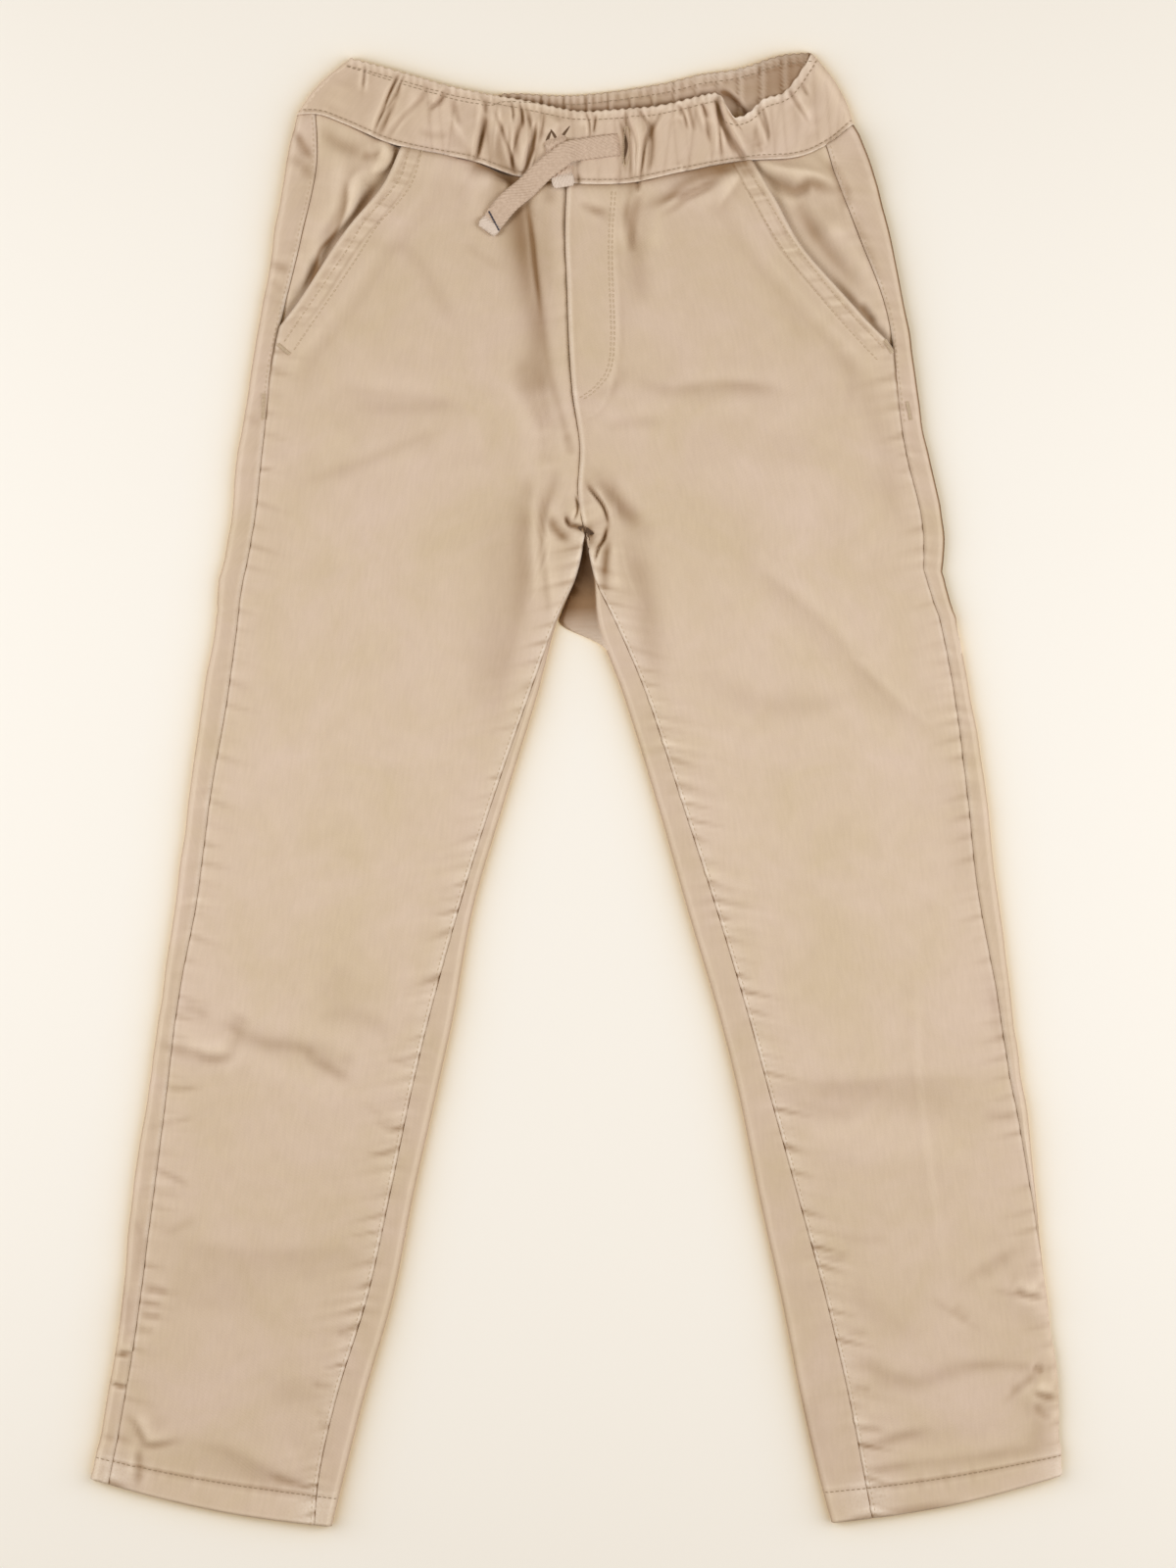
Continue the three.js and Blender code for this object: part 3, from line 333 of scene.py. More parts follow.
BAND_CREASES = (
    (1.4, 3, 0.4, -112.1, 394.3, -113.4, 384.8, -114.2, 376),
    (3, 5, 0.7, -95.4, 385.8, -99.6, 375.2, -104.9, 363.6, -110.2, 350.9),
    (1.4, 2.6, -0.3, -92.4, 386.9, -96.5, 377.4, -100.5, 366.5),
    (2, 5.5, 0.5, -80, 382.1, -86.9, 372.1, -94.3, 361.5, -100.7, 351.9),
    (1.8, 3, 0.6, -71.2, 381, -72.6, 376.3, -77.3, 369.5),
    (1.9, 5, -0.3, -67.8, 367.8, -62.5, 356.2, -56.2, 346.6, -55.1, 339.2),
    (1.6, 3, 0.4, -53.4, 376.3, -51.4, 368.9, -48.1, 360.7),
    (2, 3.6, 0.6, -49.8, 368.9, -51.9, 358.3, -55.1, 347.7, -55.7, 339.2),
    (2.2, 4, 0.5, -41.3, 373.1, -41.9, 362.5, -44, 351.9, -44.5, 340.3),
    (2.4, 4, 0.6, -31.3, 371.5, -32.9, 360.4, -35.5, 348.7, -36.6, 336),
    (2.6, 4.2, 0.7, -23.9, 362.5, -25.4, 351.9, -27.6, 342.4, -29.2, 331.2),
    (1.6, 3.5, 0.5, -19.6, 364.1, -21.7, 355.1, -22.8, 345.6),
    (1.5, 4, 0.4, -8.5, 362.5, -11.7, 356.2, -14.8, 351.9),
    (1.2, 3, 0.4, 6.8, 366.9, 7.4, 359.3, 8.2, 352.5), (0.8, 3, 0, 1.1, 366.8, 3.2, 361.5, 4.8, 357.2),
    (2.6, 3.4, -0.6, 23.9, 367.3, 27.6, 359.3, 29.7, 350.3, 29.2, 338.1, 29.2, 329.7),
    (1.8, 3.2, 0, 31.8, 367.8, 33.4, 355.1, 33.9, 342.4, 32.9, 329.7),
    (2.6, 4, 0.6, 38.2, 367.3, 37.6, 355.1, 37.1, 342.4, 36, 329.7),
    (1.2, 3, 0.3, 52.6, 371.5, 54.6, 366.8, 56.6, 361.3),
    (1.4, 3.6, -0.4, 64.7, 373.7, 67.3, 365.7, 71.5, 357.2),
    (2.2, 3.6, 0.4, 75.8, 374.7, 76.9, 365.7, 78.4, 355.1, 79, 344.5),
    (3.2, 4.5, -0.7, 74.7, 374.2, 80, 363.1, 84.8, 351.9, 89.6, 341.3),
    (1.8, 4, 0.5, 97.5, 369.4, 99.6, 362.5, 101.8, 354, 103.9, 347.7),
    (1.2, 2.6, 0.4, 99.3, 349.6, 100.7, 345.6, 101.3, 341.5),
    (2, 5, -0.4, 115.5, 379, 120.8, 369.9, 127.7, 359.3),
    (1, 4, 0, 120.3, 370.5, 124, 362.5, 128.8, 354), (1, 2.4, 0.4, 56.1, 338.8, 56.7, 335.5, 56.7, 332),
    (0.7, 6, 0, -126.1, 382.7, -128.3, 375.2, -131.4, 367.8),
    (-1.6, 1, 0, -113.6, 393.4, -114.4, 386, -115.3, 377.7),
    (-2.6, 1.2, 0, -94.4, 390.2, -102.3, 371.8, -107.9, 357.7, -110.5, 350.9),
    (-1.6, 0.9, 0, -92.1, 388.3, -97.9, 375.4, -106.2, 361.4),
    (-1.3, 1.7, 0, -77.7, 386.6, -83.7, 373, -95.3, 361.2, -104.3, 348.9),
    (-1.9, 1.2, 0, -70.7, 380.6, -73.6, 373, -80.3, 366.7),
    (-1.1, 1.9, 0, -66.9, 374.8, -64.9, 366.5, -62.2, 356.8),
    (-0.7, 2.4, 0, -86.1, 356.5, -76.7, 353.9, -67.3, 354.7),
    (-2, 1.4, 0, -48.8, 373.2, -50.5, 360.9, -53, 344.2, -58.8, 335.1),
    (-1.5, 1.2, 0, -45.2, 369.3, -38.7, 353, -33.9, 338.4, -29.8, 330.6),
    (-1.4, 0.9, 0, -35.6, 373.9, -33.9, 365.7, -34.3, 359.6),
    (-1.5, 0.9, 0, -30.8, 372.3, -29.1, 364.1, -27.9, 356.9),
    (-1.5, 1.2, 0, -36.3, 359.8, -35.5, 343.4, -31.8, 329.2),
    (-2.4, 1.4, 0, -27.2, 372, -24.4, 357.7, -25, 346.6, -29.5, 328.3),
    (-2, 1.3, 0, -21.2, 363.6, -22.5, 351.4, -24.9, 340.1),
    (-1.2, 1.1, 0, -16.8, 370, -18, 357.7, -20.4, 348.6),
    (-1.7, 1, 0, 5.1, 367.3, 7.1, 360.1, 7.5, 351.4), (-1.5, 1, 0, 11.2, 366.5, 10, 359.3, 8.7, 353.3),
    (-2.4, 1.2, 0, 22.8, 368.7, 28.7, 356.2, 29.7, 345, 28.4, 325.9),
    (-2, 1.1, 0, 25.4, 368.9, 31.9, 350.6, 32.2, 340.3, 31.8, 328),
    (-2.6, 1.4, 0, 32.3, 370, 39.2, 357.7, 36.4, 346.6, 34, 325.9),
    (-1.3, 1.2, 0, 46.7, 368.7, 43, 360.9, 38.1, 352.5),
    (-1.3, 1, 0, 55.1, 371.5, 58.6, 363.3, 60.6, 355.7),
    (-1.4, 1, 0, 67.3, 372.4, 69.7, 367.3, 71.7, 362.2),
    (-1.8, 1.2, 0, 73.5, 374.9, 78.2, 365.7, 79.7, 357.5),
    (-1.3, 1, 0, 54.5, 371.6, 55.8, 367.2, 56.8, 363),
    (-1.4, 1.2, 0, 59.1, 373.3, 62, 364.6, 63.8, 356),
    (-1.6, 1.4, 0, 66.3, 375.5, 69.9, 363.2, 72.8, 347.8),
    (-4, 1.6, 0, 74.5, 377.5, 78.1, 365.3, 84, 352.6, 91.9, 338.6),
    (-2, 1.2, 0, 77.6, 377.4, 77.2, 363.2, 77.8, 351.9, 79.2, 337.4),
    (-1.2, 1.7, 0, 95.8, 359.5, 99, 347.7, 101.2, 342.2),
    (-1.9, 1.2, 0, 99.2, 372.3, 102.8, 358.3, 104.1, 347.9),
    (-1.3, 1, 0, 96.3, 370.2, 100.4, 361.1, 102.2, 354.4),
    (-1.7, 1.4, 0, 113.5, 381.6, 119.4, 370.3, 126.6, 359),
    (-1.2, 1.1, 0, 121.1, 382.8, 123.3, 378.8, 125.5, 374.4),
    (-1.2, 1.6, 0, 83.2, 352.1, 88.7, 344.9, 91.8, 339.4),
)
BACK_CREASES = (
    (2, 9, 0.3, -150, 340, -120, 300, -90, 282), (2, 9, 0.3, 140, 336, 112, 300, 84, 280),
    (2, 14, 0, -40, 150, -90, 60, -110, -20), (2, 14, 0, 40, 150, 90, 60, 110, -20),
    (2, 8, 0.3, -210, -140, -160, -150, -110, -142), (2, 8, 0.3, 210, -160, 160, -150, 110, -162),
    (2, 9, 0, -230, -330, -190, -340, -150, -332), (2, 9, 0, 230, -320, 190, -332, 150, -322),
)
# Shade painted into the cloth's colour: how deep the painted shade is, how far it reaches on either
# side, further on its right where the lean is positive, and its line. A depth below zero paints it
# paler.
SHADES = (
    (1.6, 6.5, 0.5, -40, 356, -31, 332, -26, 314, -23, 290, -20.5, 268, -17.5, 240, -14, 218, -12, 196),
    (1.2, 9, 0, -44, 362, -38, 336, -34, 314, -29, 290, -25, 262),
    (0.9, 6, 0, -34, 234, -24, 224, -17, 212), (0.5, 4, 0, -18, 322, -15.5, 290, -14, 256),
    (1.1, 4, 0, -20, 332, -15, 322, -13, 314), (0.8, 2, 0, -13, 224, -9.5, 208, -6, 195, -3, 181),
    (1.4, 3, 0, 33, 336, 30, 324, 28.5, 311, 29, 296), (0.7, 6, 0, 31, 304, 33, 284, 36, 260),
    (2.4, 3.4, 0, 34, 314, 47, 319, 58, 326.5, 70, 331.5, 85, 334.5, 104, 335),
    (0.8, 2.6, 0, 44, 329, 62, 333, 84, 338, 104, 338),
    (1.2, 4, 0, -62, 338, -50, 335, -43, 329, -40, 318),
    (0.4, 4, 0, -122, 207, -100, 206, -80, 207, -60, 211),
    (0.4, 3.6, 0, -156, 163, -132, 171, -112, 178, -92, 187, -66, 197),
    (0.35, 4, 0, -120, 297, -104, 293, -92, 292, -83, 282, -72, 262, -60, 242),
    (0.35, 3, 0, -62, 297, -51, 288, -38, 280),
    (0.62, 3.4, 0.2, 26, 225, 42, 218, 56, 216, 70, 219, 86, 219, 101, 217, 120, 212),
    (0.35, 3, 0, 140, 236, 149, 222, 146, 203), (0.25, 4, 0, 110, 266, 119, 249, 130, 236),
    (0.4, 3, 0, 30, 230, 21, 218, 10, 213, -2, 211),
    (0.35, 6, 0, 162, 230, 158, 212, 165, 192, 170, 166, 174, 140),
    (0.8, 2.4, 0, 171, 236, 176, 213, 179, 197, 182, 172), (0.5, 2.4, 0, 4, 316, 12, 313, 22, 312),
    (0.8, 3.4, 0, -26, 172, -24, 154, -27, 136),
    (0.85, 12, 0.5, -30, 172, -31, 136, -31, 110, -36, 84, -41, 58, -47, 26),
    (0.7, 3.2, 0, -11, 178, -13, 162, -18, 150, -20, 130),
    (2.4, 3, 0, 0, 142, 5, 139.5, 8, 135, 7, 128),
    (1.7, 2.6, 0, -15, 150, -12, 142, -7, 136.5, -1, 134),
    (1.9, 2.1, 0, -6, 151, -4.5, 145, 0, 142, 6, 140.5, 11, 137),
    (1.4, 1.7, 0, 4, 169, 11, 159, 16, 150.5, 17.5, 141),
    (0.9, 6, 0, 6, 176, 18, 161, 28, 149, 44, 134), (1.5, 1.8, 0, 18, 145, 15, 136, 10, 127),
    (1.6, 2.4, 0, 18, 140, 15.5, 122, 15.5, 102),
    (0.7, 6.5, 0, 26, 146, 30, 126, 35, 108, 39, 86, 45, 50),
    (0.6, 3.4, 0, -234, -137, -220, -141, -208, -144, -197, -146, -188, -143, -183, -134, -180, -120),
    (0.7, 3.6, 0, -196, -123, -182, -131, -168, -137, -158, -138, -148, -140, -136, -148, -116, -162),
    (0.45, 3, 0, -154, -137, -140, -142, -130, -147, -117, -144),
    (0.4, 5, 0, -142, -122, -122, -121, -107, -127, -97, -136),
    (0.25, 9, 0, -127, -92, -129, -106, -133, -120), (0.35, 3, 0, -219, -118, -206, -119, -194, -126),
    (0.3, 1.6, 0, -224, -162, -211, -162, -200, -161),
    (0.35, 1.6, 0, -232, -201, -220, -209, -207, -216), (0.35, 2, 0, -118, -167, -103, -178, -89, -189),
    (0.42, 9, 0.45, -226, -238, -200, -248, -175, -252, -150, -252, -130, -250, -106, -250),
    (0.45, 2.6, 0, -226, -239, -216, -237, -204, -231),
    (0.25, 9, 0, -226, -266, -200, -270, -166, -268),
    (0.55, 1.5, 0, -242, -267, -226, -271, -212, -272), (0.4, 2, 0, -242, -277, -229, -284, -216, -287),
    (0.6, 2.4, 0, -246, -334, -239, -341, -234.5, -350, -226, -354, -208, -350),
    (0.6, 3.6, 0, -212, -351, -190, -357, -172, -365, -155, -373, -134, -378),
    (0.35, 7, 0, -168, -326, -148, -325, -128, -325),
    (0.6, 2.4, 0.3, -236.5, -352, -235.5, -366, -237, -382),
    (0.5, 7, 0.5, 98, -157, 125, -160, 150, -160, 175, -157, 200, -158, 230, -157),
    (0.4, 4, 0, 108, -168, 135, -174, 158, -178),
    (0.35, 7, 0, 60, 65, 90, 50, 110, 45, 135, 48, 165, 54), (0.35, 4.5, 0, 150, 72, 180, 42, 202, 24),
    (-0.45, 2.4, 0, 144, 78, 165, 60, 184, 42, 196, 32), (0.3, 8, 0, 203, 22, 208, -20, 213, -64),
    (0.6, 4, 0, 222, -96, 228, -120, 233, -146), (0.6, 3.2, 0, 218, -175, 229, -176, 240, -177),
    (0.3, 3, 0, 140, -242, 155, -243, 172, -243), (0.4, 3, 0, 205, -270, 226, -254, 246, -246),
    (0.7, 1.6, 0, 222, -270, 243, -273, 262, -276), (0.3, 6, 0, 144, -266, 165, -285, 192, -297),
    (0.4, 1.8, 0, 188, -273, 206, -284, 221, -294),
    (0.6, 4.4, 0, 142, -309, 158, -313, 170, -320, 186, -320, 201, -315, 228, -312),
    (0.6, 2.6, 0, 204, -311, 235, -311, 254, -314), (0.7, 2.2, 0, 230, -332, 243, -320, 252, -313),
    (1, 2.2, 0, 244, -323, 254, -328, 264, -328), (0.55, 5, 0, 246, -326, 250, -345, 247, -360),
    (0.65, 3, 0, 144, -356, 165, -352, 180, -348, 196, -345),
    (0.5, 2.6, 0, 142, -369, 175, -365, 205, -362, 235, -358, 262, -354),
    (0.55, 7, 0, 128, -328, 132, -350, 138, -372), (1.5, 1.8, 0, 142, -394, 175, -389.5, 212, -384),
    (1.2, 2, 0, -266, -369, -252, -374, -240, -379),
)
SIDE_SHADES = (
    (2.4, 1.3, 0, -124, 328, -124.3, 315, -129.6, 302, -138, 291.5, -141, 282, -145, 267),
    (2.4, 1.3, 0, -134, 291, -140, 280, -147, 265, -153, 256),
    (-0.6, 1.8, 0, -107, 338, -117, 329, -120.5, 316, -130, 297, -135, 290),
    (1.3, 3, 0, -99, 343.5, -101, 338, -109.6, 324.7, -116.7, 313, -127.3, 299, -137, 286),
    (0.8, 4, 0, -140, 360, -130, 350, -118, 344, -104, 343),
    (1.4, 1.9, 0, -114, 354, -102, 350, -98.5, 343, -103, 336),
    (1.1, 2.2, 0, -156, 360, -148, 350, -141, 338), (0.9, 3.2, 0, -158, 342, -147, 336, -139, 328),
    (0.6, 2.4, 0, -170, 288, -162, 284, -153, 281), (0.4, 2.6, 0, -172, 268, -164, 265, -156, 262),
    (0.5, 2.4, 0, -180, 203, -174, 199, -168, 198),
    (1.1, 4, 0, 94, 339, 108, 331, 118, 326, 126, 327, 138, 326, 150, 318),
    (1.1, 2.2, 0, 127, 345, 137, 335, 142, 324, 145, 308),
    (0.9, 5, 0, 114, 322, 126, 305, 138, 290, 154, 272),
    (1.8, 2.2, 0, 136, 280, 152, 262, 160, 252, 170, 240), (0.8, 4, 0, 126, 326, 133, 312, 142, 300),
    (0.8, 2.2, 0, 148, 314, 156, 295, 165, 272), (0.5, 4, 0, 151, 356, 155, 344, 160, 330),
    (0.7, 4, 0, -246, -262, -244, -280, -246, -294), (1, 1.1, 0, -254, -304, -245, -305, -234, -306),
    (0.8, 1.3, 0, -256, -318, -248, -321, -238, -325), (0.5, 3, 0, -241, -228, -234, -244, -238, -262),
    (0.6, 8, 0, 118, -322, 124, -350, 128, -374), (1.3, 1.8, 0, 142, -396, 156, -392.5, 170, -390),
)
BAND_SHADES = (
    (1.4, 1.2, 0, -92.2, 395, -101, 372, -106, 360, -112.9, 341.2),
    (0.7, 1.1, 0, -110.3, 397.2, -113.6, 386, -116.6, 371),
    (0.6, 1.6, 0, -76, 388.2, -86, 372, -94, 362, -105.2, 347),
    (1.1, 1.3, 0, -69, 384.2, -74, 373, -80.2, 363),
    (1.2, 1.9, 0, -58.1, 358.8, -57.5, 345, -56.9, 331.2),
    (1, 1.4, 0, -50.2, 380, -49, 360, -56.5, 334), (2.1, 5, 0, -54, 362, -44, 347, -35, 334, -28, 324),
    (1.2, 1.3, 0, -34.2, 380, -33, 356, -29.2, 334), (1.4, 1.7, 0, -30, 378, -25, 353, -28.8, 328),
    (1.1, 1.4, 0, -18.8, 374, -20, 352, -23.8, 334.5), (0.6, 5, 0, -2, 370, -8, 362, -14, 356),
    (0.8, 1.1, 0, 6.8, 371.2, 8, 360, 8, 350), (1.2, 1.3, 0, 25.2, 370, 29, 346, 31.5, 322),
    (1.5, 1.7, 0, 31.9, 374, 37.5, 353, 35.6, 322), (0.6, 1.2, 0, 43.5, 373.8, 41, 360, 36, 347.5),
    (0.7, 1.2, 0, 51.2, 375.2, 55, 364, 58.8, 354), (0.8, 1.2, 0, 60, 379, 65, 364, 70, 351.5),
    (1.4, 1.7, 0, 73, 381.8, 78, 363, 84, 350, 92, 339, 95.8, 332.8),
    (0.6, 3.4, 0, 84, 356, 94, 349, 106, 343), (1.1, 1.3, 0, 96, 376.5, 101, 359, 104.8, 347.8),
    (0.6, 1.4, 0, 111.2, 385.2, 120, 369, 127.5, 355.2),
    (0.5, 1.2, 0, 119.2, 388, 123, 378, 128, 369.2),
)

# Lines of sewing and of painted shade, and the middle lines of the drawcord's ends.
POCKET_RIGHT_MOUTH = (
    (-93.8, 349.3), (-100.2, 330.2), (-116.6, 311.1), (-128.3, 292.6),
    (-144.7, 268.7), (-157.9, 249.6), (-161.7, 243.8),
)
POCKET_LEFT_MOUTH = (
    (98.6, 334.4), (107.1, 321.2), (120.8, 298.9), (135.2, 279.8), (153.2, 258.6), (170.1, 240.6),
)
FLY_J = (
    (21.2, 323.3), (19.6, 300), (19.6, 278.8), (20.7, 245.9), (18.6, 226.8), (11.1, 216.2),
    (3.2, 210.4),
)
BAR_TACKS = (
    ((-168.5, 214.1), (-169.1, 200.3)),
    ((178.6, 209.9), (180.7, 199.8)),
    ((-161.1, 240.6), (-154.8, 235.3)),
    ((166.4, 242.7), (170.7, 235.3)),
)
HOLE_LEFT = ((25.8, 356.7), (27.2, 347.7), (25.2, 338.7))
HOLE_RIGHT = (
    ((-16.9, 347.4), (-15.2, 352), (-13.2, 356.2)),
    ((-13.8, 356.4), (-11.6, 353), (-9.3, 349.4)),
    ((-9.3, 349.4), (-7, 353.6), (-3.4, 358.6)),
)
FLAP_PAINTED_SHADE = (
    ((1, 141.8), (4.6, 140.4), (9.6, 138.2)),
    ((5.7, 126.5), (5.7, 133), (6, 140.2)),
)
DARK_BAR = ((-47.2, 312.2), (-44, 306.3), (-40.8, 300.5))
LONG_END = (
    (26, 349), (10, 347), (-3, 344.5), (-10, 340), (-19, 333), (-28, 324), (-37, 316), (-44, 308),
    (-49, 301),
)
SHORT_END = ((-12, 354), (-10.5, 347), (-9, 339), (-7.5, 331), (-6.5, 325))

# The two halves: how far the pocket's mouth gapes at a place, and how deep its back sinks.
HALVES = (
    {
        "name": "right",
        "sections": RIGHT_SECTIONS,
        "fly": False,
        "seed": 100,
        "gape": lambda place: 1.2 * bump_at(place, 1.3, 0.9) + 0.9 * bump_at(place, 3.0, 0.8),
        "sink": 1.5,
    },
    {
        "name": "left",
        "sections": LEFT_SECTIONS,
        "fly": True,
        "seed": 200,
        "gape": lambda place: 0.3 + 0.8 * bump_at(place, 3.2, 0.8),
        "sink": 1.3,
    },
)


# ---- Curves and surfaces of the laid cloth ----


def smooth(low, high, value):
    """A value's share of the way from low to high, eased at both ends."""
    share = np.clip((value - low) / (high - low), 0, 1)
    return share * share * (3 - 2 * share)


def mix(low, high, share):
    """The value at a share of the way from low to high."""
    return low + (high - low) * share


def bump_at(value, centre, width):
    """A bell of height 1 at its centre, and of 0.37 at its width from there."""
    return np.exp(-(((value - centre) / width) ** 2))


def spline(a, b, c, d, t):
    """The point at a share from b to c of a smooth curve through four points."""
    value = 2 * b + (c - a) * t + (2 * a - 5 * b + 4 * c - d) * t**2
    return (value + (3 * b - a - 3 * c + d) * t**3) / 2


def rows_at(table, place):
    """A table's rows at places along it: one smooth curve above the crotch, one below."""
    table = np.array(table, float)
    low = np.where(place < CROTCH, 0, CROTCH)
    high = np.where(place < CROTCH, CROTCH, HEM)
    first = np.minimum(np.floor(place).astype(int), high - 1)
    a, b, c, d = (table[np.clip(first + step, low, high)] for step in (-1, 0, 1, 2))
    value = spline(a, b, c, d, (place - first)[..., None])
    return dict(zip(SECTION, np.moveaxis(value, -1, 0)))


def curve_y(points, x):
    """Height y of a smooth curve through points with rising x."""
    xs, ys = np.array(points, float).T
    last = len(xs) - 1
    x = np.clip(x, xs[0], xs[-1])
    i = np.clip(np.searchsorted(xs, x) - 1, 0, last - 1)
    before, after = np.maximum(i - 1, 0), np.minimum(i + 2, last)
    run = xs[i + 1] - xs[i]
    t = (x - xs[i]) / run
    slope_left = (ys[i + 1] - ys[before]) / (xs[i + 1] - xs[before])
    slope_right = (ys[after] - ys[i]) / (xs[after] - xs[i])
    ease = t * t * (3 - 2 * t)
    bend = t * (1 - t) ** 2 * run * slope_left + t * t * (t - 1) * run * slope_right
    return ys[i] + (ys[i + 1] - ys[i]) * ease + bend


def waist_y(x, upper):
    """The waist seam's y, from the lower cloth's (0) to the upper cloth's (1)."""
    return mix(curve_y(BACK_WAIST_SEAM, x), curve_y(WAIST_SEAM, x), upper)


def noise_lattice(seed, shape):
    """Seeded values from -1 to 1."""
    return np.random.RandomState(seed).uniform(-1, 1, shape)


def waver(value, pitch, seed):
    """Smooth noise from -1 to 1 along a length."""
    lattice = noise_lattice(seed, LINE_CELLS)
    place = value / pitch
    first = np.floor(place).astype(int)
    share = smooth(0, 1, place - first)
    return mix(lattice[first % LINE_CELLS], lattice[(first + 1) % LINE_CELLS], share)


def rumple(x, y, pitch, seed):
    """Smooth noise from -1 to 1 over a surface."""
    lattice = noise_lattice(seed, (ROW_CELLS, COLUMN_CELLS))
    i, j = np.floor(x / pitch).astype(int), np.floor(y / pitch).astype(int)
    u, v = smooth(0, 1, x / pitch - i), smooth(0, 1, y / pitch - j)
    row, next_row = i % ROW_CELLS, (i + 1) % ROW_CELLS
    column, next_column = j % COLUMN_CELLS, (j + 1) % COLUMN_CELLS
    near = mix(lattice[row, column], lattice[next_row, column], u)
    far = mix(lattice[row, next_column], lattice[next_row, next_column], u)
    return mix(near, far, v)


def rounded_line(line, steps=4):
    """The points of a smooth curve through a few points."""
    line = np.array(line, float)
    if len(line) < 3:
        return line
    padded = np.vstack([2 * line[0] - line[1], line, 2 * line[-1] - line[-2]])
    near = zip(padded, padded[1:], padded[2:], padded[3:])
    curve = [spline(*points, t) for points in near for t in np.arange(steps) / steps]
    return np.array(curve + [line[-1]])


def from_line(line, x, y):
    """How far points lie from a line, to its left above zero, and at what share of its length."""
    runs = np.diff(line, axis=0)
    lengths = np.hypot(*runs.T)
    starts = np.concatenate(([0], np.cumsum(lengths)))
    side, share, best = np.zeros_like(x), np.zeros_like(x), np.full_like(x, np.inf)
    for point, run, length, start in zip(line, runs, lengths, starts):
        t = np.clip(((x - point[0]) * run[0] + (y - point[1]) * run[1]) / length**2, 0, 1)
        off_x, off_y = x - point[0] - t * run[0], y - point[1] - t * run[1]
        distance = np.hypot(off_x, off_y)
        closer = distance < best
        left = np.where(run[0] * off_y - run[1] * off_x < 0, -1, 1)
        side = np.where(closer, distance * left, side)
        share = np.where(closer, (start + t * length) / starts[-1], share)
        best = np.where(closer, distance, best)
    return side, share


def crease_form(side, share, height, width, lean):
    """A crest across its line: steeper on one side, with a groove there where it leans over."""
    half = np.where(side > 0, width * (1 - lean), width * (1 + lean))
    form = bump_at(side, 0, half)
    if abs(lean) > 0.5:
        tuck = width * (1 - abs(lean))
        beside = (side * np.sign(lean) - 1.9 * tuck) / (0.5 * tuck + 0.7)
        form -= 0.45 * np.exp(-(beside**2))
    return height * form * smooth(-0.05, 0.33, share) * smooth(-0.05, 0.33, 1 - share)


def relief(table, x, y):
    """The height that a table of creases adds at points."""
    total = np.zeros_like(x)
    for height, width, lean, *points in table:
        line = rounded_line(np.reshape(points, (-1, 2)))
        reach = 2.6 * width * (1 + abs(lean))
        (low_x, low_y), (high_x, high_y) = line.min(0) - reach, line.max(0) + reach
        near = (x > low_x) & (x < high_x) & (y > low_y) & (y < high_y)
        if near.any():
            side, share = from_line(line, x[near], y[near])
            total[near] += crease_form(side, share, height, width, lean)
    return total


def section_at(half, place):
    """A half's section at a place, with its width, its folds' arcs and its upper side's arc.

    Arcs run from the outer fold, over the upper side to the inner one, and back below. "Open"
    is 1 above the crotch, where the halves meet in the centre seam.
    """
    s = rows_at(half["sections"], place)
    s["place"] = place
    s["width"] = np.hypot(s["inner_x"] - s["outer_x"], s["inner_y"] - s["outer_y"])
    s["open"] = 1 - smooth(CROTCH - 0.5, CROTCH, place)
    s["radius"] = np.maximum(0.01, FOLD_RADIUS * smooth(CROTCH - 0.5, CROTCH + 1, place))
    s["outer_quarter"] = QUARTER * FOLD_RADIUS
    s["inner_quarter"] = QUARTER * s["radius"]
    flat = s["width"] - FOLD_RADIUS - s["radius"]
    s["top"] = flat + s["outer_quarter"] + s["inner_quarter"]
    return s


def round_fold(arc, radius, quarter):
    """Distance from the fold, share of the cloth's height and way out and up, at an arc."""
    angle = np.clip(arc / quarter, -1, 1) * QUARTER
    bent = radius * (1 - np.cos(angle))
    distance = np.where(np.abs(arc) >= quarter, radius + np.abs(arc) - quarter, bent)
    return distance, (1 + np.sin(angle)) / 2, np.cos(angle), np.sin(angle)


def upper_height(s, from_outer, x, y, extra):
    """The height of the upper cloth: high at its folds, with its relief, and eased at its ends."""
    from_inner = s["width"] - from_outer
    outer = 1 / (1 + (from_outer / FOLD_SPREAD) ** 2)
    inner = smooth(CROTCH, CROTCH + 2, s["place"]) / (1 + (from_inner / FOLD_SPREAD) ** 2)
    height = REST_HEIGHT + (FOLD_HEIGHT - REST_HEIGHT) * (outer + inner)
    height = height + relief(FOLDS, x, y) + RELIEF * relief(CREASES, x, y) + extra
    height += 0.7 * rumple(x, y, 61, 3) + 0.28 * rumple(x, y, 23, 5) + 0.14 * rumple(x, y, 9, 6)
    # The legs part in a narrow, deep gap.
    apart = bump_at(s["place"], CROTCH + 0.45, 1.0) * np.exp(-np.abs(from_inner) / 11)
    height += CROTCH_RISE * apart
    return FLAT_HEIGHT + 0.4 * np.logaddexp(0, (np.minimum(height, HIGHEST) - FLAT_HEIGHT) / 0.4)


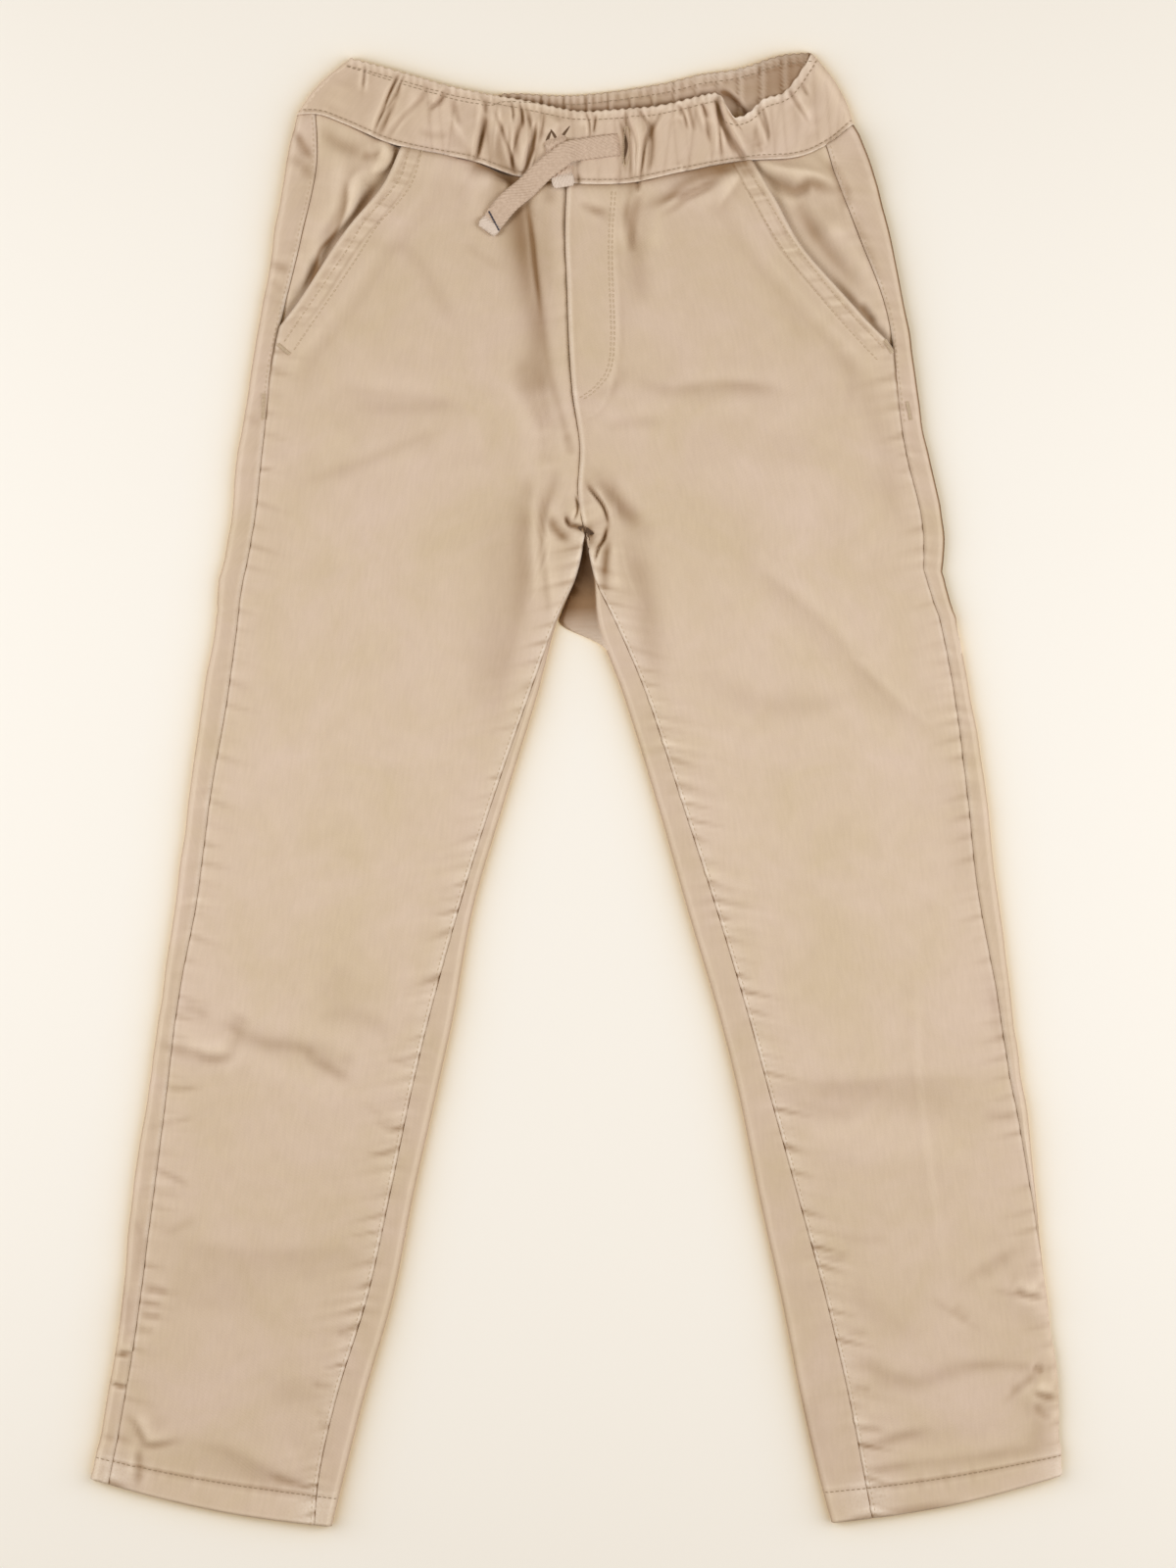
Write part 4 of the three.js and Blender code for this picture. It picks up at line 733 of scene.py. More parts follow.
def tube_points(half, s, arc, lift=0.0, tables=()):
    """The outer side of a laid tube of cloth at arcs of its sections."""
    turn = np.where(arc > 1.5 * s["top"], arc - 2 * s["top"], arc)
    outer_side = turn <= s["top"] / 2
    on_outer = round_fold(turn, FOLD_RADIUS, s["outer_quarter"])
    on_inner = round_fold(s["top"] - turn, s["radius"], s["inner_quarter"])
    distance, share = (np.where(outer_side, *pair) for pair in zip(on_outer[:2], on_inner[:2]))
    from_outer = np.where(outer_side, distance, s["width"] - distance - SEAM_GAP / 2)
    across = from_outer / s["width"]
    first = np.array(half["sections"][0], float)
    # The outer edges waver by about half a millimetre.
    seed = half["seed"]
    edge = 0.7 * waver(21 * s["place"], 19, seed) + 0.45 * waver(21 * s["place"], 7, seed + 1)
    edge = edge * smooth(0, 0.6, s["place"]) * np.exp(-np.abs(from_outer) / 9)
    x = mix(s["outer_x"], s["inner_x"], across) + edge
    straight = mix(s["outer_y"], s["inner_y"], across)
    bow = 1 - smooth(0, WAIST_BOW_END, s["place"])
    waist_x = mix(first[0], first[2], across)
    hem_bow = HEM_BOW * np.sin(math.pi * across) * smooth(HEM - 1.5, HEM, s["place"])
    y = straight + bow * (waist_y(waist_x, share) - mix(first[1], first[3], across)) - hem_bow
    slope = waist_y(waist_x + 0.5, share) - waist_y(waist_x - 0.5, share)
    gap = np.where(s["place"] < 1e-6, WAIST_GAP / 2 * np.hypot(1, slope), 0)
    extra = sum((relief(table, x, y) for table in tables), np.zeros_like(x))
    flat = np.where(outer_side, distance, s["width"] - distance)
    z = share * upper_height(s, flat, x, y, extra) + share * lift
    return np.stack([x, y - gap, z], axis=-1), share


def fly_width(place):
    """The mock fly facing's width: straight, then rounded off at its foot."""
    down = np.clip((place - FLY_STRAIGHT) / (FLY_BOTTOM - FLY_STRAIGHT), 0, 1)
    return FLY_WIDTH * np.sqrt(1 - down**2)


# ---- Making pieces ----


def srgb(code):
    """The linear colour of a hex code."""
    parts = [int(code[i : i + 2], 16) / 255 for i in (0, 2, 4)]
    return tuple(c / 12.92 if c <= 0.04045 else ((c + 0.055) / 1.055) ** 2.4 for c in parts)


def mesh_from(bm, name):
    """A mesh of what a bmesh holds, which is freed."""
    mesh = bpy.data.meshes.new(name)
    bm.to_mesh(mesh)
    bm.free()
    return mesh


def finish_piece(name, mesh, finish, replaces=()):
    """A finished mesh as a piece of the garment, in one of its finishes."""
    mesh.polygons.foreach_set("use_smooth", np.ones(len(mesh.polygons), bool))
    mesh.materials.append(make_materials()[finish])
    piece = bpy.data.objects.new(name, mesh)
    bpy.context.scene.collection.objects.link(piece)
    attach(piece, "root")
    if replaces:
        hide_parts(*replaces)
    return piece


def averaged(grid, reaches):
    """A grid with each value averaged over its neighbours, both ways."""
    for axis, reach in enumerate(reaches):
        pad = [(0, 0), (0, 0)]
        pad[axis] = (reach + 1, reach)
        total = np.cumsum(np.pad(grid, pad, "edge"), axis=axis)
        size = grid.shape[axis]
        high = np.take(total, range(2 * reach + 1, 2 * reach + 1 + size), axis=axis)
        low = np.take(total, range(size), axis=axis)
        grid = (high - low) / (2 * reach + 1)
    return grid


def cells_across(points, reach):
    """How many cells of a grid a reach in mm spans, along its rows and its columns."""
    down = np.linalg.norm(np.diff(points[..., :2], axis=0), axis=-1).mean()
    across = np.linalg.norm(np.diff(points[..., :2], axis=1), axis=-1).mean()
    return max(1, round(reach / down)), max(1, round(reach / across))


def painted_shade_from_relief(points):
    """How deep each point lies between its neighbours, as painted shade: above zero in folds, below on
    crests.

    It is taken against the cloth within 2 mm and within 8 mm, each by its usual relief.
    """
    heights = points[..., 2]
    near = (averaged(heights, cells_across(points, 2.0)) - heights) / 0.34
    far = (averaged(heights, cells_across(points, 8.0)) - heights) / 1.3
    return np.clip(0.5 * near + 0.5 * far, -1, 1)


def sheet_mesh(name, points, arc, along, wear_and_painted_pale, painted_shade, wall=None, flipped=False):
    """A grid of cloth moved to points (rows, columns, xyz), with its own UVs, its wear and pale paint,
    and its painted shade.
    """
    rows, columns = points.shape[0] - 1, points.shape[1] - 1
    bm = bmesh.new()
    bmesh.ops.create_grid(bm, x_segments=columns, y_segments=rows, size=0.5)
    mesh = mesh_from(bm, name)
    flat = np.empty(3 * len(mesh.vertices), np.float32)
    mesh.vertices.foreach_get("co", flat)
    flat = flat.reshape(-1, 3)
    column = np.rint((flat[:, 0] + 0.5) * columns).astype(int)
    row = np.rint((0.5 - flat[:, 1]) * rows).astype(int)
    if flipped:
        column = columns - column
    mesh.vertices.foreach_set("co", (points[row, column] * MM).astype(np.float32).ravel())
    corner = np.empty(len(mesh.loops), np.int32)
    mesh.loops.foreach_get("vertex_index", corner)
    uv = np.stack([arc[row, column], along[row, column]], axis=-1)[corner] * MM
    mesh.uv_layers.new(name="cloth").data.foreach_set("uv", uv.astype(np.float32).ravel())
    for layer, values in (("wear_and_painted_pale", np.clip(wear_and_painted_pale, 0, 1)), ("painted_shade", painted_shade), ("wall", wall)):
        if values is not None:
            data = mesh.attributes.new(layer, "FLOAT", "POINT").data
            data.foreach_set("value", values[row, column].astype(np.float32))
    mesh.update()
    return mesh


def give_wall(piece, thickness, shares=None):
    """Solidifies a sheet inwards, to a share of the thickness where its points give one."""
    solid = piece.modifiers.new("Wall", "SOLIDIFY")
    solid.thickness = thickness
    solid.offset = -1
    solid.use_quality_normals = True
    if shares is not None:
        weights = piece.vertex_groups.new(name="wall")
        for share in np.unique(shares):
            weights.add(np.nonzero(shares == share)[0].tolist(), float(share), "REPLACE")
        solid.vertex_group = "wall"


# ---- Panels of the two halves ----

EDGE_STEPS = np.array([0, 0.5, 1.0, 1.6, 2.3, 3.1, 4.0, 5.1, 6.4, 8.0, 10.0])
INNER_STEPS = np.concatenate([EDGE_STEPS[:6], np.arange(4.0, 19.5, 0.95)])


def garment_rows(half, last=HEM):
    """Places of a panel's rows, closer at the waist, the crotch and the hem, and their lengths."""
    fine = np.linspace(0, HEM, 40 * HEM + 1)
    s = rows_at(half["sections"], fine)
    x, y = (s["outer_x"] + s["inner_x"]) / 2, (s["outer_y"] + s["inner_y"]) / 2
    along = np.concatenate(([0], np.cumsum(np.hypot(np.diff(x), np.diff(y)))))
    close = (along < 110) | (along > along[-1] - 70)
    step = np.where(close, CLOSE_STEP, PLAIN_STEP)
    step = np.where(np.abs(fine - CROTCH - 0.5) < 2.0, CROTCH_STEP, step)[1:]
    count = np.concatenate(([0], np.cumsum(np.diff(along) / step)))
    end = np.interp(last, fine, count)
    place = np.interp(np.linspace(0, end, int(end) + 1), count, fine)
    return place[:, None], np.interp(place, fine, along)[:, None], along[-1]


def waist_form(along):
    """The cloth dips under the waistband and fills out below it."""
    return 0.7 * bump_at(along, 9, 7) - 0.5 * bump_at(along, 0, 2.4)


def hem_form(to_hem, arc, seed):
    """The turned-up hem: a step at its stitches, which pucker it, and a round lower edge."""
    step = HEM_STEP * (1 - smooth(HEM_ROW, HEM_WIDTH + 4, to_hem))
    row = -0.5 * bump_at(to_hem, HEM_ROW, 1.1)
    pucker = 0.3 * waver(arc, 3.6, seed) * bump_at(to_hem, HEM_WIDTH - 2, 5)
    return step + row + pucker - 0.6 * bump_at(to_hem, 0, 0.9)


def hem_wear(to_hem, from_seam):
    """The hems are rubbed pale where their seams are thickest."""
    return 0.7 * bump_at(from_seam, 0, 13) * (1 - smooth(HEM_WIDTH - 2, HEM_WIDTH + 9, to_hem))


def seam_pucker(y, from_seam, seed, reach=7.0):
    """Short tucks across a seam, in uneven groups."""
    group = 0.55 + 0.45 * waver(y, 31, seed + 1)
    tuck = waver(y + 0.2 * from_seam, 3.7, seed) + 0.6 * waver(y - 0.3 * from_seam, 8.3, seed + 2)
    return group * tuck * np.exp(-from_seam / reach)


def seam_tucks(y, from_seam, seed, pitch=10.5):
    """Thin tucks that start in a seam, each of its own depth and length, from 0 to 1."""
    place = (y + 0.25 * from_seam) / pitch + 0.35 * waver(y, 2.2 * pitch, seed)
    count = np.floor(place).astype(int) % LINE_CELLS
    depth = np.abs(noise_lattice(seed + 1, LINE_CELLS)[count])
    reach = 5 + 9 * np.abs(noise_lattice(seed + 2, LINE_CELLS)[count])
    far = (np.mod(place, 1) - 0.5) * pitch
    return depth * bump_at(far, 0, 1.7) * bump_at(from_seam, 0, reach)


def front_panel(half):
    """A front, from the side seam or the pocket's mouth to the centre seam and the inseam."""
    seed = half["seed"]
    place, along, whole = garment_rows(half)
    s = section_at(half, place)
    start = np.maximum(s["side"], s["mouth"]) + SEAM_GAP / 2
    gap = (1 - s["open"]) * SEAM_GAP / 2
    end = s["top"] - s["inseam"] - s["open"] * s["inner_quarter"] - gap
    inside = np.linspace(0, 1, 67)[None, 1:-1]
    middle = mix(start + EDGE_STEPS[-1], end - INNER_STEPS[-1], inside)
    arc = np.hstack([start + EDGE_STEPS, middle, end - INNER_STEPS[::-1]])
    from_start, from_end, to_hem = arc - start, end - arc, whole - along
    base, _ = tube_points(half, s, arc)
    y = base[..., 1]
    # The front rises over the pocket's back, and more where the mouth gapes. Two rows of
    # stitches hold the mouth's edge down.
    mouth = smooth(0.5, 3, s["mouth"] - s["side"]) * (1 - smooth(4.5, 5, place))
    cover = 1 - smooth(0, POCKET_FADE, arc - s["mouth"] - POCKET_UNDERLAP - 2)
    lift = POCKET_LIFT * cover * (1 - smooth(POCKET_BOTTOM, POCKET_BOTTOM + 1, place))
    lift += mouth * half["gape"](place) * bump_at(from_start, 0, 11)
    lift += mouth * (0.45 * bump_at(from_start, 1.7, 1.2) - 0.7 * bump_at(from_start, 0, 0.7))
    ladder = smooth(2.5, 4, from_start) * (1 - smooth(10.5, 12.5, from_start))
    lift += mouth * ladder * 0.55 * waver(along, 2.5, seed + 40)
    lift -= mouth * 0.5 * sum(bump_at(from_start, row, 0.8) for row in POCKET_ROWS)
    # Seams draw the cloth into short tucks and dip along their very edge.
    seam = 1 - mouth
    lift += seam * 0.65 * seam_pucker(y, from_start, seed + 10)
    lift -= seam * 0.3 * bump_at(from_start, 0, 1.0)
    inseam = np.where(s["open"] < 0.5, 1.0, 0.0)
    lift += inseam * 1.5 * seam_pucker(y, from_end, seed + 20, 10)
    lift -= inseam * 0.4 * bump_at(from_end, 0, 0.9)
    tucks = 0.5 * seam * seam_tucks(y, from_start, seed + 80)
    tucks += inseam * seam_tucks(y, from_end, seed + 84)
    lift -= 0.9 * tucks
    # The mock fly's facing raises the left front, which laps over the right one.
    centre = 1 - inseam
    if half["fly"]:
        on_top = s["top"] - arc
        edge = fly_width(place - 0.5)
        facing = 1 - smooth(FLY_BOTTOM, FLY_BOTTOM + 0.7, place)
        lift += FLY_LIFT * facing * (1 - smooth(edge + 2, edge + 6, on_top))
        lift += centre * (0.8 * bump_at(from_end, 1.9, 1.4) - 0.4 * bump_at(from_end, 0, 0.6))
    else:
        lift -= centre * 0.7 * bump_at(from_end, 0, 1.8)
    lift += centre * 0.4 * seam_pucker(y, from_end, seed + 30)
    lift += waist_form(along) + hem_form(to_hem, arc, seed + 50)
    points, share = tube_points(half, s, arc, lift)
    # Painted shade: in folds and the listed shades, more towards the waist and the hems, along the
    # seams' edges, at the hem's row, just below the waistband and in the tucks.
    painted_shade = painted_shade_from_relief(points) * smooth(0.6, 0.99, share) + relief(SHADES, base[..., 0], y)
    painted_shade += 0.4 * (1 - bump_at(y, -10, 230)) + 1.3 * inseam * bump_at(from_end, 0, 0.6)
    painted_shade += 0.9 * bump_at(to_hem, HEM_ROW, 1.5) + seam * bump_at(from_start, 0, 0.6)
    painted_shade += 1.2 * bump_at(along, 0, 2.2) + 1.1 * tucks
    # The edges are rubbed pale in patches.
    patchy = 0.7 + 0.3 * waver(along, 11, seed + 60)
    wear_and_painted_pale = 0.9 * mouth * bump_at(from_start, 0.3, 1.3) + 0.5 * seam * bump_at(from_start, 1.0, 0.9)
    wear_and_painted_pale += 1.1 * inseam * bump_at(from_end, 1.2, 0.9)
    wear_and_painted_pale += 0.3 * inseam * bump_at(from_end, 4, 4) * (1 - np.clip(2 * tucks, 0, 1))
    wear_and_painted_pale += 0.8 * centre * half["fly"] * bump_at(from_end, 1.2, 1.0)
    wear_and_painted_pale = wear_and_painted_pale * patchy + 0.6 * bump_at(to_hem, 0.4, 1.0)
    wear_and_painted_pale += hem_wear(to_hem, np.minimum(from_start, from_end))
    ones = np.ones_like(arc)
    wall = np.where(to_hem < HEM_WIDTH, 1.0, SINGLE_WALL) * ones
    return points, arc, along * ones, wear_and_painted_pale, painted_shade, wall


def seat_reach(place):
    """How far the lower cloth reaches into the narrow gap below the crotch."""
    gap = rows_at(LEFT_SECTIONS, place)["inner_x"] - rows_at(RIGHT_SECTIONS, place)["inner_x"]
    return np.clip(gap + 2.5, 0, 26) * (1 - smooth(CROTCH + 1.85, CROTCH + 2.4, place))


def back_panel(half):
    """A back, from the inseam or the centre seam, under the leg, to the side seam."""
    seed = half["seed"]
    place, along, whole = garment_rows(half)
    s = section_at(half, place)
    gap = (1 - s["open"]) * SEAM_GAP / 2
    start = s["top"] - s["inseam"] + s["open"] * s["inner_quarter"] + gap
    end = 2 * s["top"] + s["side"] - SEAM_GAP / 2
    inner_from = np.maximum(s["top"] - s["inner_quarter"], start + 1.5)
    inner_to = np.maximum(s["top"] + s["inner_quarter"], inner_from + 1.5)
    outer_to = np.minimum(2 * s["top"] + s["outer_quarter"], end - 1.5)
    outer_from = np.minimum(2 * s["top"] - s["outer_quarter"], outer_to - 1.5)
    # The columns lie closer at the seams and round the folds.
    strips = (
        (start, inner_from, 20, lambda t: t**1.5),
        (inner_from, inner_to, 6, lambda t: t),
        (inner_to, outer_from, 30, lambda t: t),
        (outer_from, outer_to, 6, lambda t: t),
        (outer_to, end, 18, lambda t: 1 - (1 - t) ** 1.5),
    )
    columns = [start]
    for low, high, steps, ease in strips:
        columns.append(mix(low, high, ease(np.linspace(0, 1, steps + 1)[None, 1:])))
    arc = np.hstack(columns)
    from_start, from_end, to_hem = arc - start, end - arc, whole - along
    base, share = tube_points(half, s, arc)
    x, y = base[..., 0], base[..., 1]
    legs = np.where(s["open"] < 0.5, 1.0, 0.0)
    lift = 0.6 * bump_at(from_end, 1.8, 1.6) - 0.3 * bump_at(from_end, 0, 0.6)
    lift += 0.6 * seam_pucker(y, from_end, seed + 10)
    lift += legs * 0.7 * seam_pucker(y, from_start, seed + 20, 6)
    lift -= legs * 0.3 * bump_at(from_start, 0, 0.9)
    lift += waist_form(along) + hem_form(to_hem, arc, seed + 50)
    points, _ = tube_points(half, s, arc, lift, (SIDE_CREASES,))
    # The lower cloth lifts a little from what it lies on, never below it.
    loose = np.maximum(0, 0.35 * rumple(x, y, 38, 9) + 0.3 * relief(BACK_CREASES, x, y))
    points[..., 2] += (1 - share) * loose * smooth(0, 8, from_start) * smooth(0, 8, from_end)
    # Below the crotch the seat shows in the gap, low, and is painted in deep shade that fades out
    # downwards.
    past_fold = arc - s["top"] - 0.5 * s["inner_quarter"]
    seat = np.where(past_fold > 0, np.exp(-past_fold / 16), smooth(-2.5, 0, past_fold))
    reach = seat_reach(place) * half["fly"]
    points[..., 0] -= reach * seat * (1 - smooth(0.35, 0.75, share))
    # Painted shade: in folds and the listed shades, on the folds' sides and the cloth below them, a
    # little all over, and more towards the waist and the hems.
    painted_shade = painted_shade_from_relief(points) * smooth(0.6, 0.99, share) + 1 - smooth(0.75, 1.0, share)
    painted_shade += relief(SIDE_SHADES, x, y) + 0.3 + 0.2 * (1 - bump_at(y, -10, 230))
    shade = smooth(0.0, 0.3, reach) * (1 - smooth(0.68, 0.95, share))
    deep = 5.9 - 6.6 * smooth(CROTCH + 0.7, CROTCH + 2.75, place)
    painted_shade += shade * (deep - painted_shade)
    patchy = 0.5 + 0.5 * waver(along, 13, seed + 61)
    wear_and_painted_pale = 0.9 * bump_at(from_end, 0.7, 1.0) + 0.3 * legs * bump_at(from_start, 0, 0.9)
    wear_and_painted_pale = wear_and_painted_pale * patchy + 0.6 * bump_at(to_hem, 0.4, 1.0)
    wear_and_painted_pale += hem_wear(to_hem, np.minimum(from_start, from_end))
    # The seat's painted shade is painted pale at its lower end, so that it fades into the paper.
    wear_and_painted_pale += shade * smooth(CROTCH + 1.2, CROTCH + 2.6, place)
    ones = np.ones_like(arc)
    wall = np.where(to_hem < HEM_WIDTH, 1.0, SINGLE_WALL) * ones
    return points, arc, along * ones, wear_and_painted_pale, painted_shade, wall


def pocket_panel(half):
    """A pocket's back, from the side seam to a little way under the front."""
    place, along, _ = garment_rows(half, POCKET_BOTTOM)
    s = section_at(half, place)
    start = s["side"] + SEAM_GAP / 2
    end = s["mouth"] + POCKET_UNDERLAP
    arc = mix(start, end, np.linspace(0, 1, 49)[None, :] ** 1.15)
    from_start, to_mouth = arc - start, s["mouth"] - arc
    base, _ = tube_points(half, s, arc)
    x, y = base[..., 0], base[..., 1]
    shown = smooth(-1, 4, to_mouth)
    lift = shown * relief(SIDE_CREASES, x, y) + waist_form(along)
    lift -= half["sink"] * (1 - smooth(0, 9, to_mouth))
    lift += 0.45 * seam_pucker(y, from_start, half["seed"] + 10) - 0.6 * bump_at(from_start, 0, 1.2)
    points, _ = tube_points(half, s, arc, lift)
    points[..., 2] = np.maximum(points[..., 2], FLAT_HEIGHT)
    wear_and_painted_pale = 0.3 * bump_at(from_start, 0.4, 0.8)
    # Painted shade: a little all over, and in its folds and listed shades.
    painted_shade = 0.3 + painted_shade_from_relief(points) + relief(SIDE_SHADES, x, y)
    return points, arc, along * np.ones_like(arc), wear_and_painted_pale, painted_shade, None


# ---- Waistband ----


def gathers(x, up, seed):
    """Upright tucks of a gathered band: soft ribs between thin, uneven, slanting grooves."""
    total = 0
    for pitch, depth, slant, start in ((11.9, 0.9, -0.14, 0), (6.3, 0.7, 0.1, 3)):
        place = x + slant * up + 2.6 * waver(x, 3 * pitch, seed + start)
        share = np.mod(place / pitch, 1)
        count = np.floor(place / pitch).astype(int)
        far = np.minimum(share, 1 - share) * pitch
        sizes = np.abs(noise_lattice(seed + start + 1, LINE_CELLS))
        size = sizes[np.where(share < 0.5, count, count + 1) % LINE_CELLS]
        reach = smooth(0.0, 1.0, (up + 30 * waver(place, pitch, seed + start + 2)) / BAND_TALL + 0.8)
        total = total - depth * size * reach * np.exp(-((far / 1.25) ** 1.2))
    stretched = smooth(-105, -70, x)
    return total * stretched + (0.3 + 0.5 * stretched) * rumple(x, 0.4 * up, 8, seed + 9)


def band_points():
    """The band's outer side, top edge, inner side and foot, round the waist."""
    wall = BAND_WALL / 2
    lip = wall / BAND_TALL
    roll = math.pi * np.arange(1, 5) / 5
    foot = math.pi * np.arange(1, 3) / 3
    outer, inner = np.linspace(0, 1, 33), np.linspace(1, 0, 25)
    up = [outer, 1 + lip * np.sin(roll), inner, -0.2 * lip * np.sin(foot), [0.0]]
    over_top, under_foot = wall * (1 - np.cos(roll)), wall * (1 + np.cos(foot))
    depth = [0 * outer, over_top, 0 * inner + BAND_WALL, under_foot, [0.0]]
    up, depth = np.concatenate(up)[:, None], np.concatenate(depth)[:, None]
    rise = np.clip(up, 0, 1)
    bow = BAND_END_BOW * np.sin(math.pi * rise)
    start_x = mix(WAIST_SEAM[0][0], BAND_FRONT_TOP[0][0], rise) - bow
    end_x = mix(WAIST_SEAM[-1][0], BAND_FRONT_TOP[-1][0], rise) + bow
    quarter = QUARTER * FOLD_RADIUS
    width = end_x - start_x
    top = width - 2 * FOLD_RADIUS + 2 * quarter
    front = mix(quarter, top - quarter, np.linspace(0, 1, 461)[None, :])
    back = mix(top + quarter, 2 * top - quarter, np.linspace(0, 1, 221)[None, :])
    bend = np.linspace(-1, 1, 10)[None, 1:-1] * quarter
    arc = np.hstack([front, top + bend, back, 2 * top + bend, front[:, :1] + 2 * top])
    turn = np.where(arc > 1.5 * top, arc - 2 * top, arc)
    right_side = turn <= top / 2
    folded = np.where(right_side, turn, top - turn)
    distance, share, out, over = round_fold(folded, FOLD_RADIUS, quarter)
    from_fold = distance + out * depth
    along = np.where(right_side, from_fold, width - from_fold)
    x = start_x + along
    across = along / width
    seam_x = mix(WAIST_SEAM[0][0], WAIST_SEAM[-1][0], across)
    slope = waist_y(seam_x + 0.5, share) - waist_y(seam_x - 0.5, share)
    seam_y = waist_y(seam_x, share) - 0.1 * WAIST_GAP * np.hypot(1, slope)
    top_x = mix(BAND_FRONT_TOP[0][0], BAND_FRONT_TOP[-1][0], across)
    front_y, back_y = curve_y(BAND_FRONT_TOP, top_x), curve_y(BAND_BACK_TOP, top_x)
    y = mix(seam_y, mix(back_y, front_y, share), up)
    from_top, from_foot = (1 - rise) * BAND_TALL, rise * BAND_TALL
    # Elastic gathers: fine teeth at the top edge and upright tucks below it.
    teeth = np.cos(2 * math.pi * (x + 1.5 * waver(x, 13, 70)) / 4.2)
    y += 0.35 * teeth * bump_at(from_top, 0, 2.0)
    front_z = BAND_REST + 1.15 * relief(BAND_CREASES, x, y) + gathers(x, y - seam_y, 80)
    front_z += 0.35 * teeth * bump_at(from_top, 1.5, 2.2)
    front_z -= 0.25 * bump_at(from_top, 3.8, 0.9) + 0.4 * bump_at(from_foot, 2.2, 0.9)
    front_z += 0.5 * bump_at(from_foot, 0.3, 1.1)
    front_z += 0.3 * waver(x, 3.3, 72) * bump_at(from_foot, 2.5, 4)
    front_z += 3.6 * bump_at(x, 92, 17) * smooth(0.45, 1, rise)
    front_z = np.clip(front_z, BAND_REST - 2.6, HIGHEST)
    # The lower half shows its inner side behind the front's top edge, and rises there.
    seen = smooth(0, 5, y - front_y)
    pleat = np.mod(x + 1.2 * waver(x, 29, 73), 11.7) - 5.8
    inner_side = 1.2 * bump_at(pleat, 1.4, 1.5) - 0.8 * bump_at(pleat, 0, 0.7)
    inner_side += 0.45 * teeth * bump_at(from_top, 2.0, 2.6) - 0.35 * bump_at(from_top, 4.4, 0.8)
    inner_side += seen * (1.0 + 2.4 * bump_at(x, 100, 34))
    lower = np.where(over < 0, (1 - share) * inner_side * depth / BAND_WALL, 0)
    z = share * front_z - over * depth + np.maximum(lower, -0.4)
    points = np.stack([x, y, z], axis=-1)
    lining = smooth(0.4, 0.9, depth / BAND_WALL)
    wear_and_painted_pale = (0.45 + 0.2 * waver(x, 3.1, 74)) * bump_at(from_foot, 0.2, 0.9) * (1 - lining)
    wear_and_painted_pale += 0.35 * bump_at(from_top, 0, 1.4)
    wear_and_painted_pale = wear_and_painted_pale + 0.5 * bump_at(from_top, 0, 2.6) * bump_at(x, 92, 22)
    run = np.hypot(np.diff(up[:, 0] * BAND_TALL), np.diff(depth[:, 0]))
    length = np.concatenate(([0], np.cumsum(run)))
    ones = np.ones_like(arc)
    # Painted shade: in the band's folds and listed shades, on its inner side behind the front's top
    # edge, most at its right end and just above that edge, and on its folded ends.
    painted_shade = painted_shade_from_relief(points) * (1 - smooth(0.15, 0.6, np.abs(up - rise) * BAND_TALL))
    painted_shade += np.where(over > 0, 0.7 * relief(BAND_SHADES, x, y) * (1 - lining), 0)
    shaded = 1.1 + 1.3 * bump_at(x, 118, 24) + 1.6 * bump_at(y - front_y, 1.5, 3.5)
    painted_shade += np.where(over < 0, shaded * smooth(-3, 3, y - front_y) * lining, 0)
    painted_shade += 0.7 * np.where(over > 0, 1 - smooth(0.75, 1.0, share), 0)
    return points, arc * GATHER, length[:, None] * ones, wear_and_painted_pale * ones, painted_shade


# ---- Drawcord, stitches and small sewn pieces ----


def garment_tree(*names):
    """A tree of the outer sides of several pieces, for laying small things on them."""
    bm = bmesh.new()
    for name in names:
        bm.from_mesh(bpy.data.objects[name].data)
    tree = BVHTree.FromBMesh(bm)
    bm.free()
    return tree


def height_at(tree, x, y):
    """The upper surface's height and normal at a point, both in mm."""
    start = Vector((x * MM, y * MM, LOOK_FROM))
    hit, normal, _, _ = tree.ray_cast(start, Vector((0, 0, -1)))
    if hit is None:
        return None, None
    return hit.z / MM, normal if normal.z > 0 else -normal


def even_points(line, step):
    """Points at even steps along a line, with their directions."""
    line = np.array(line, float)
    lengths = np.concatenate(([0], np.cumsum(np.hypot(*np.diff(line, axis=0).T))))

    def point(at):
        return np.stack([np.interp(at, lengths, values) for values in line.T], axis=-1)

    at = np.arange(step / 2, lengths[-1], step)
    return point(at), point(at + 0.6) - point(at - 0.6)


def thread_shape():
    """One stitch as a short rounded length of thread, one unit long and wide."""
    bm = bmesh.new()
    bmesh.ops.create_uvsphere(bm, u_segments=6, v_segments=4, radius=0.5)
    bmesh.ops.rotate(bm, verts=bm.verts, cent=(0, 0, 0), matrix=Matrix.Rotation(QUARTER, 3, "Y"))
    points = np.array([v.co[:] for v in bm.verts])
    faces = [[v.index for v in face.verts] for face in bm.faces]
    bm.free()
    return points, faces


def threads_mesh(name, places):
    """Many stitches as one mesh: each is a middle, a direction, a normal, a length and a width."""
    shape, faces = thread_shape()
    points, all_faces = [], []
    for count, (middle, along, normal, length, width) in enumerate(places):
        along, normal = Vector(along).normalized(), Vector(normal).normalized()
        across = normal.cross(along).normalized()
        frame_of = np.array([along * length, across * width, across.cross(along) * width * -0.8])
        points.append(shape @ frame_of + np.array(middle))
        all_faces += [[index + count * len(shape) for index in face] for face in faces]
    mesh = bpy.data.meshes.new(name)
    mesh.from_pydata(np.vstack(points) * MM, [], all_faces)
    mesh.validate()
    return mesh


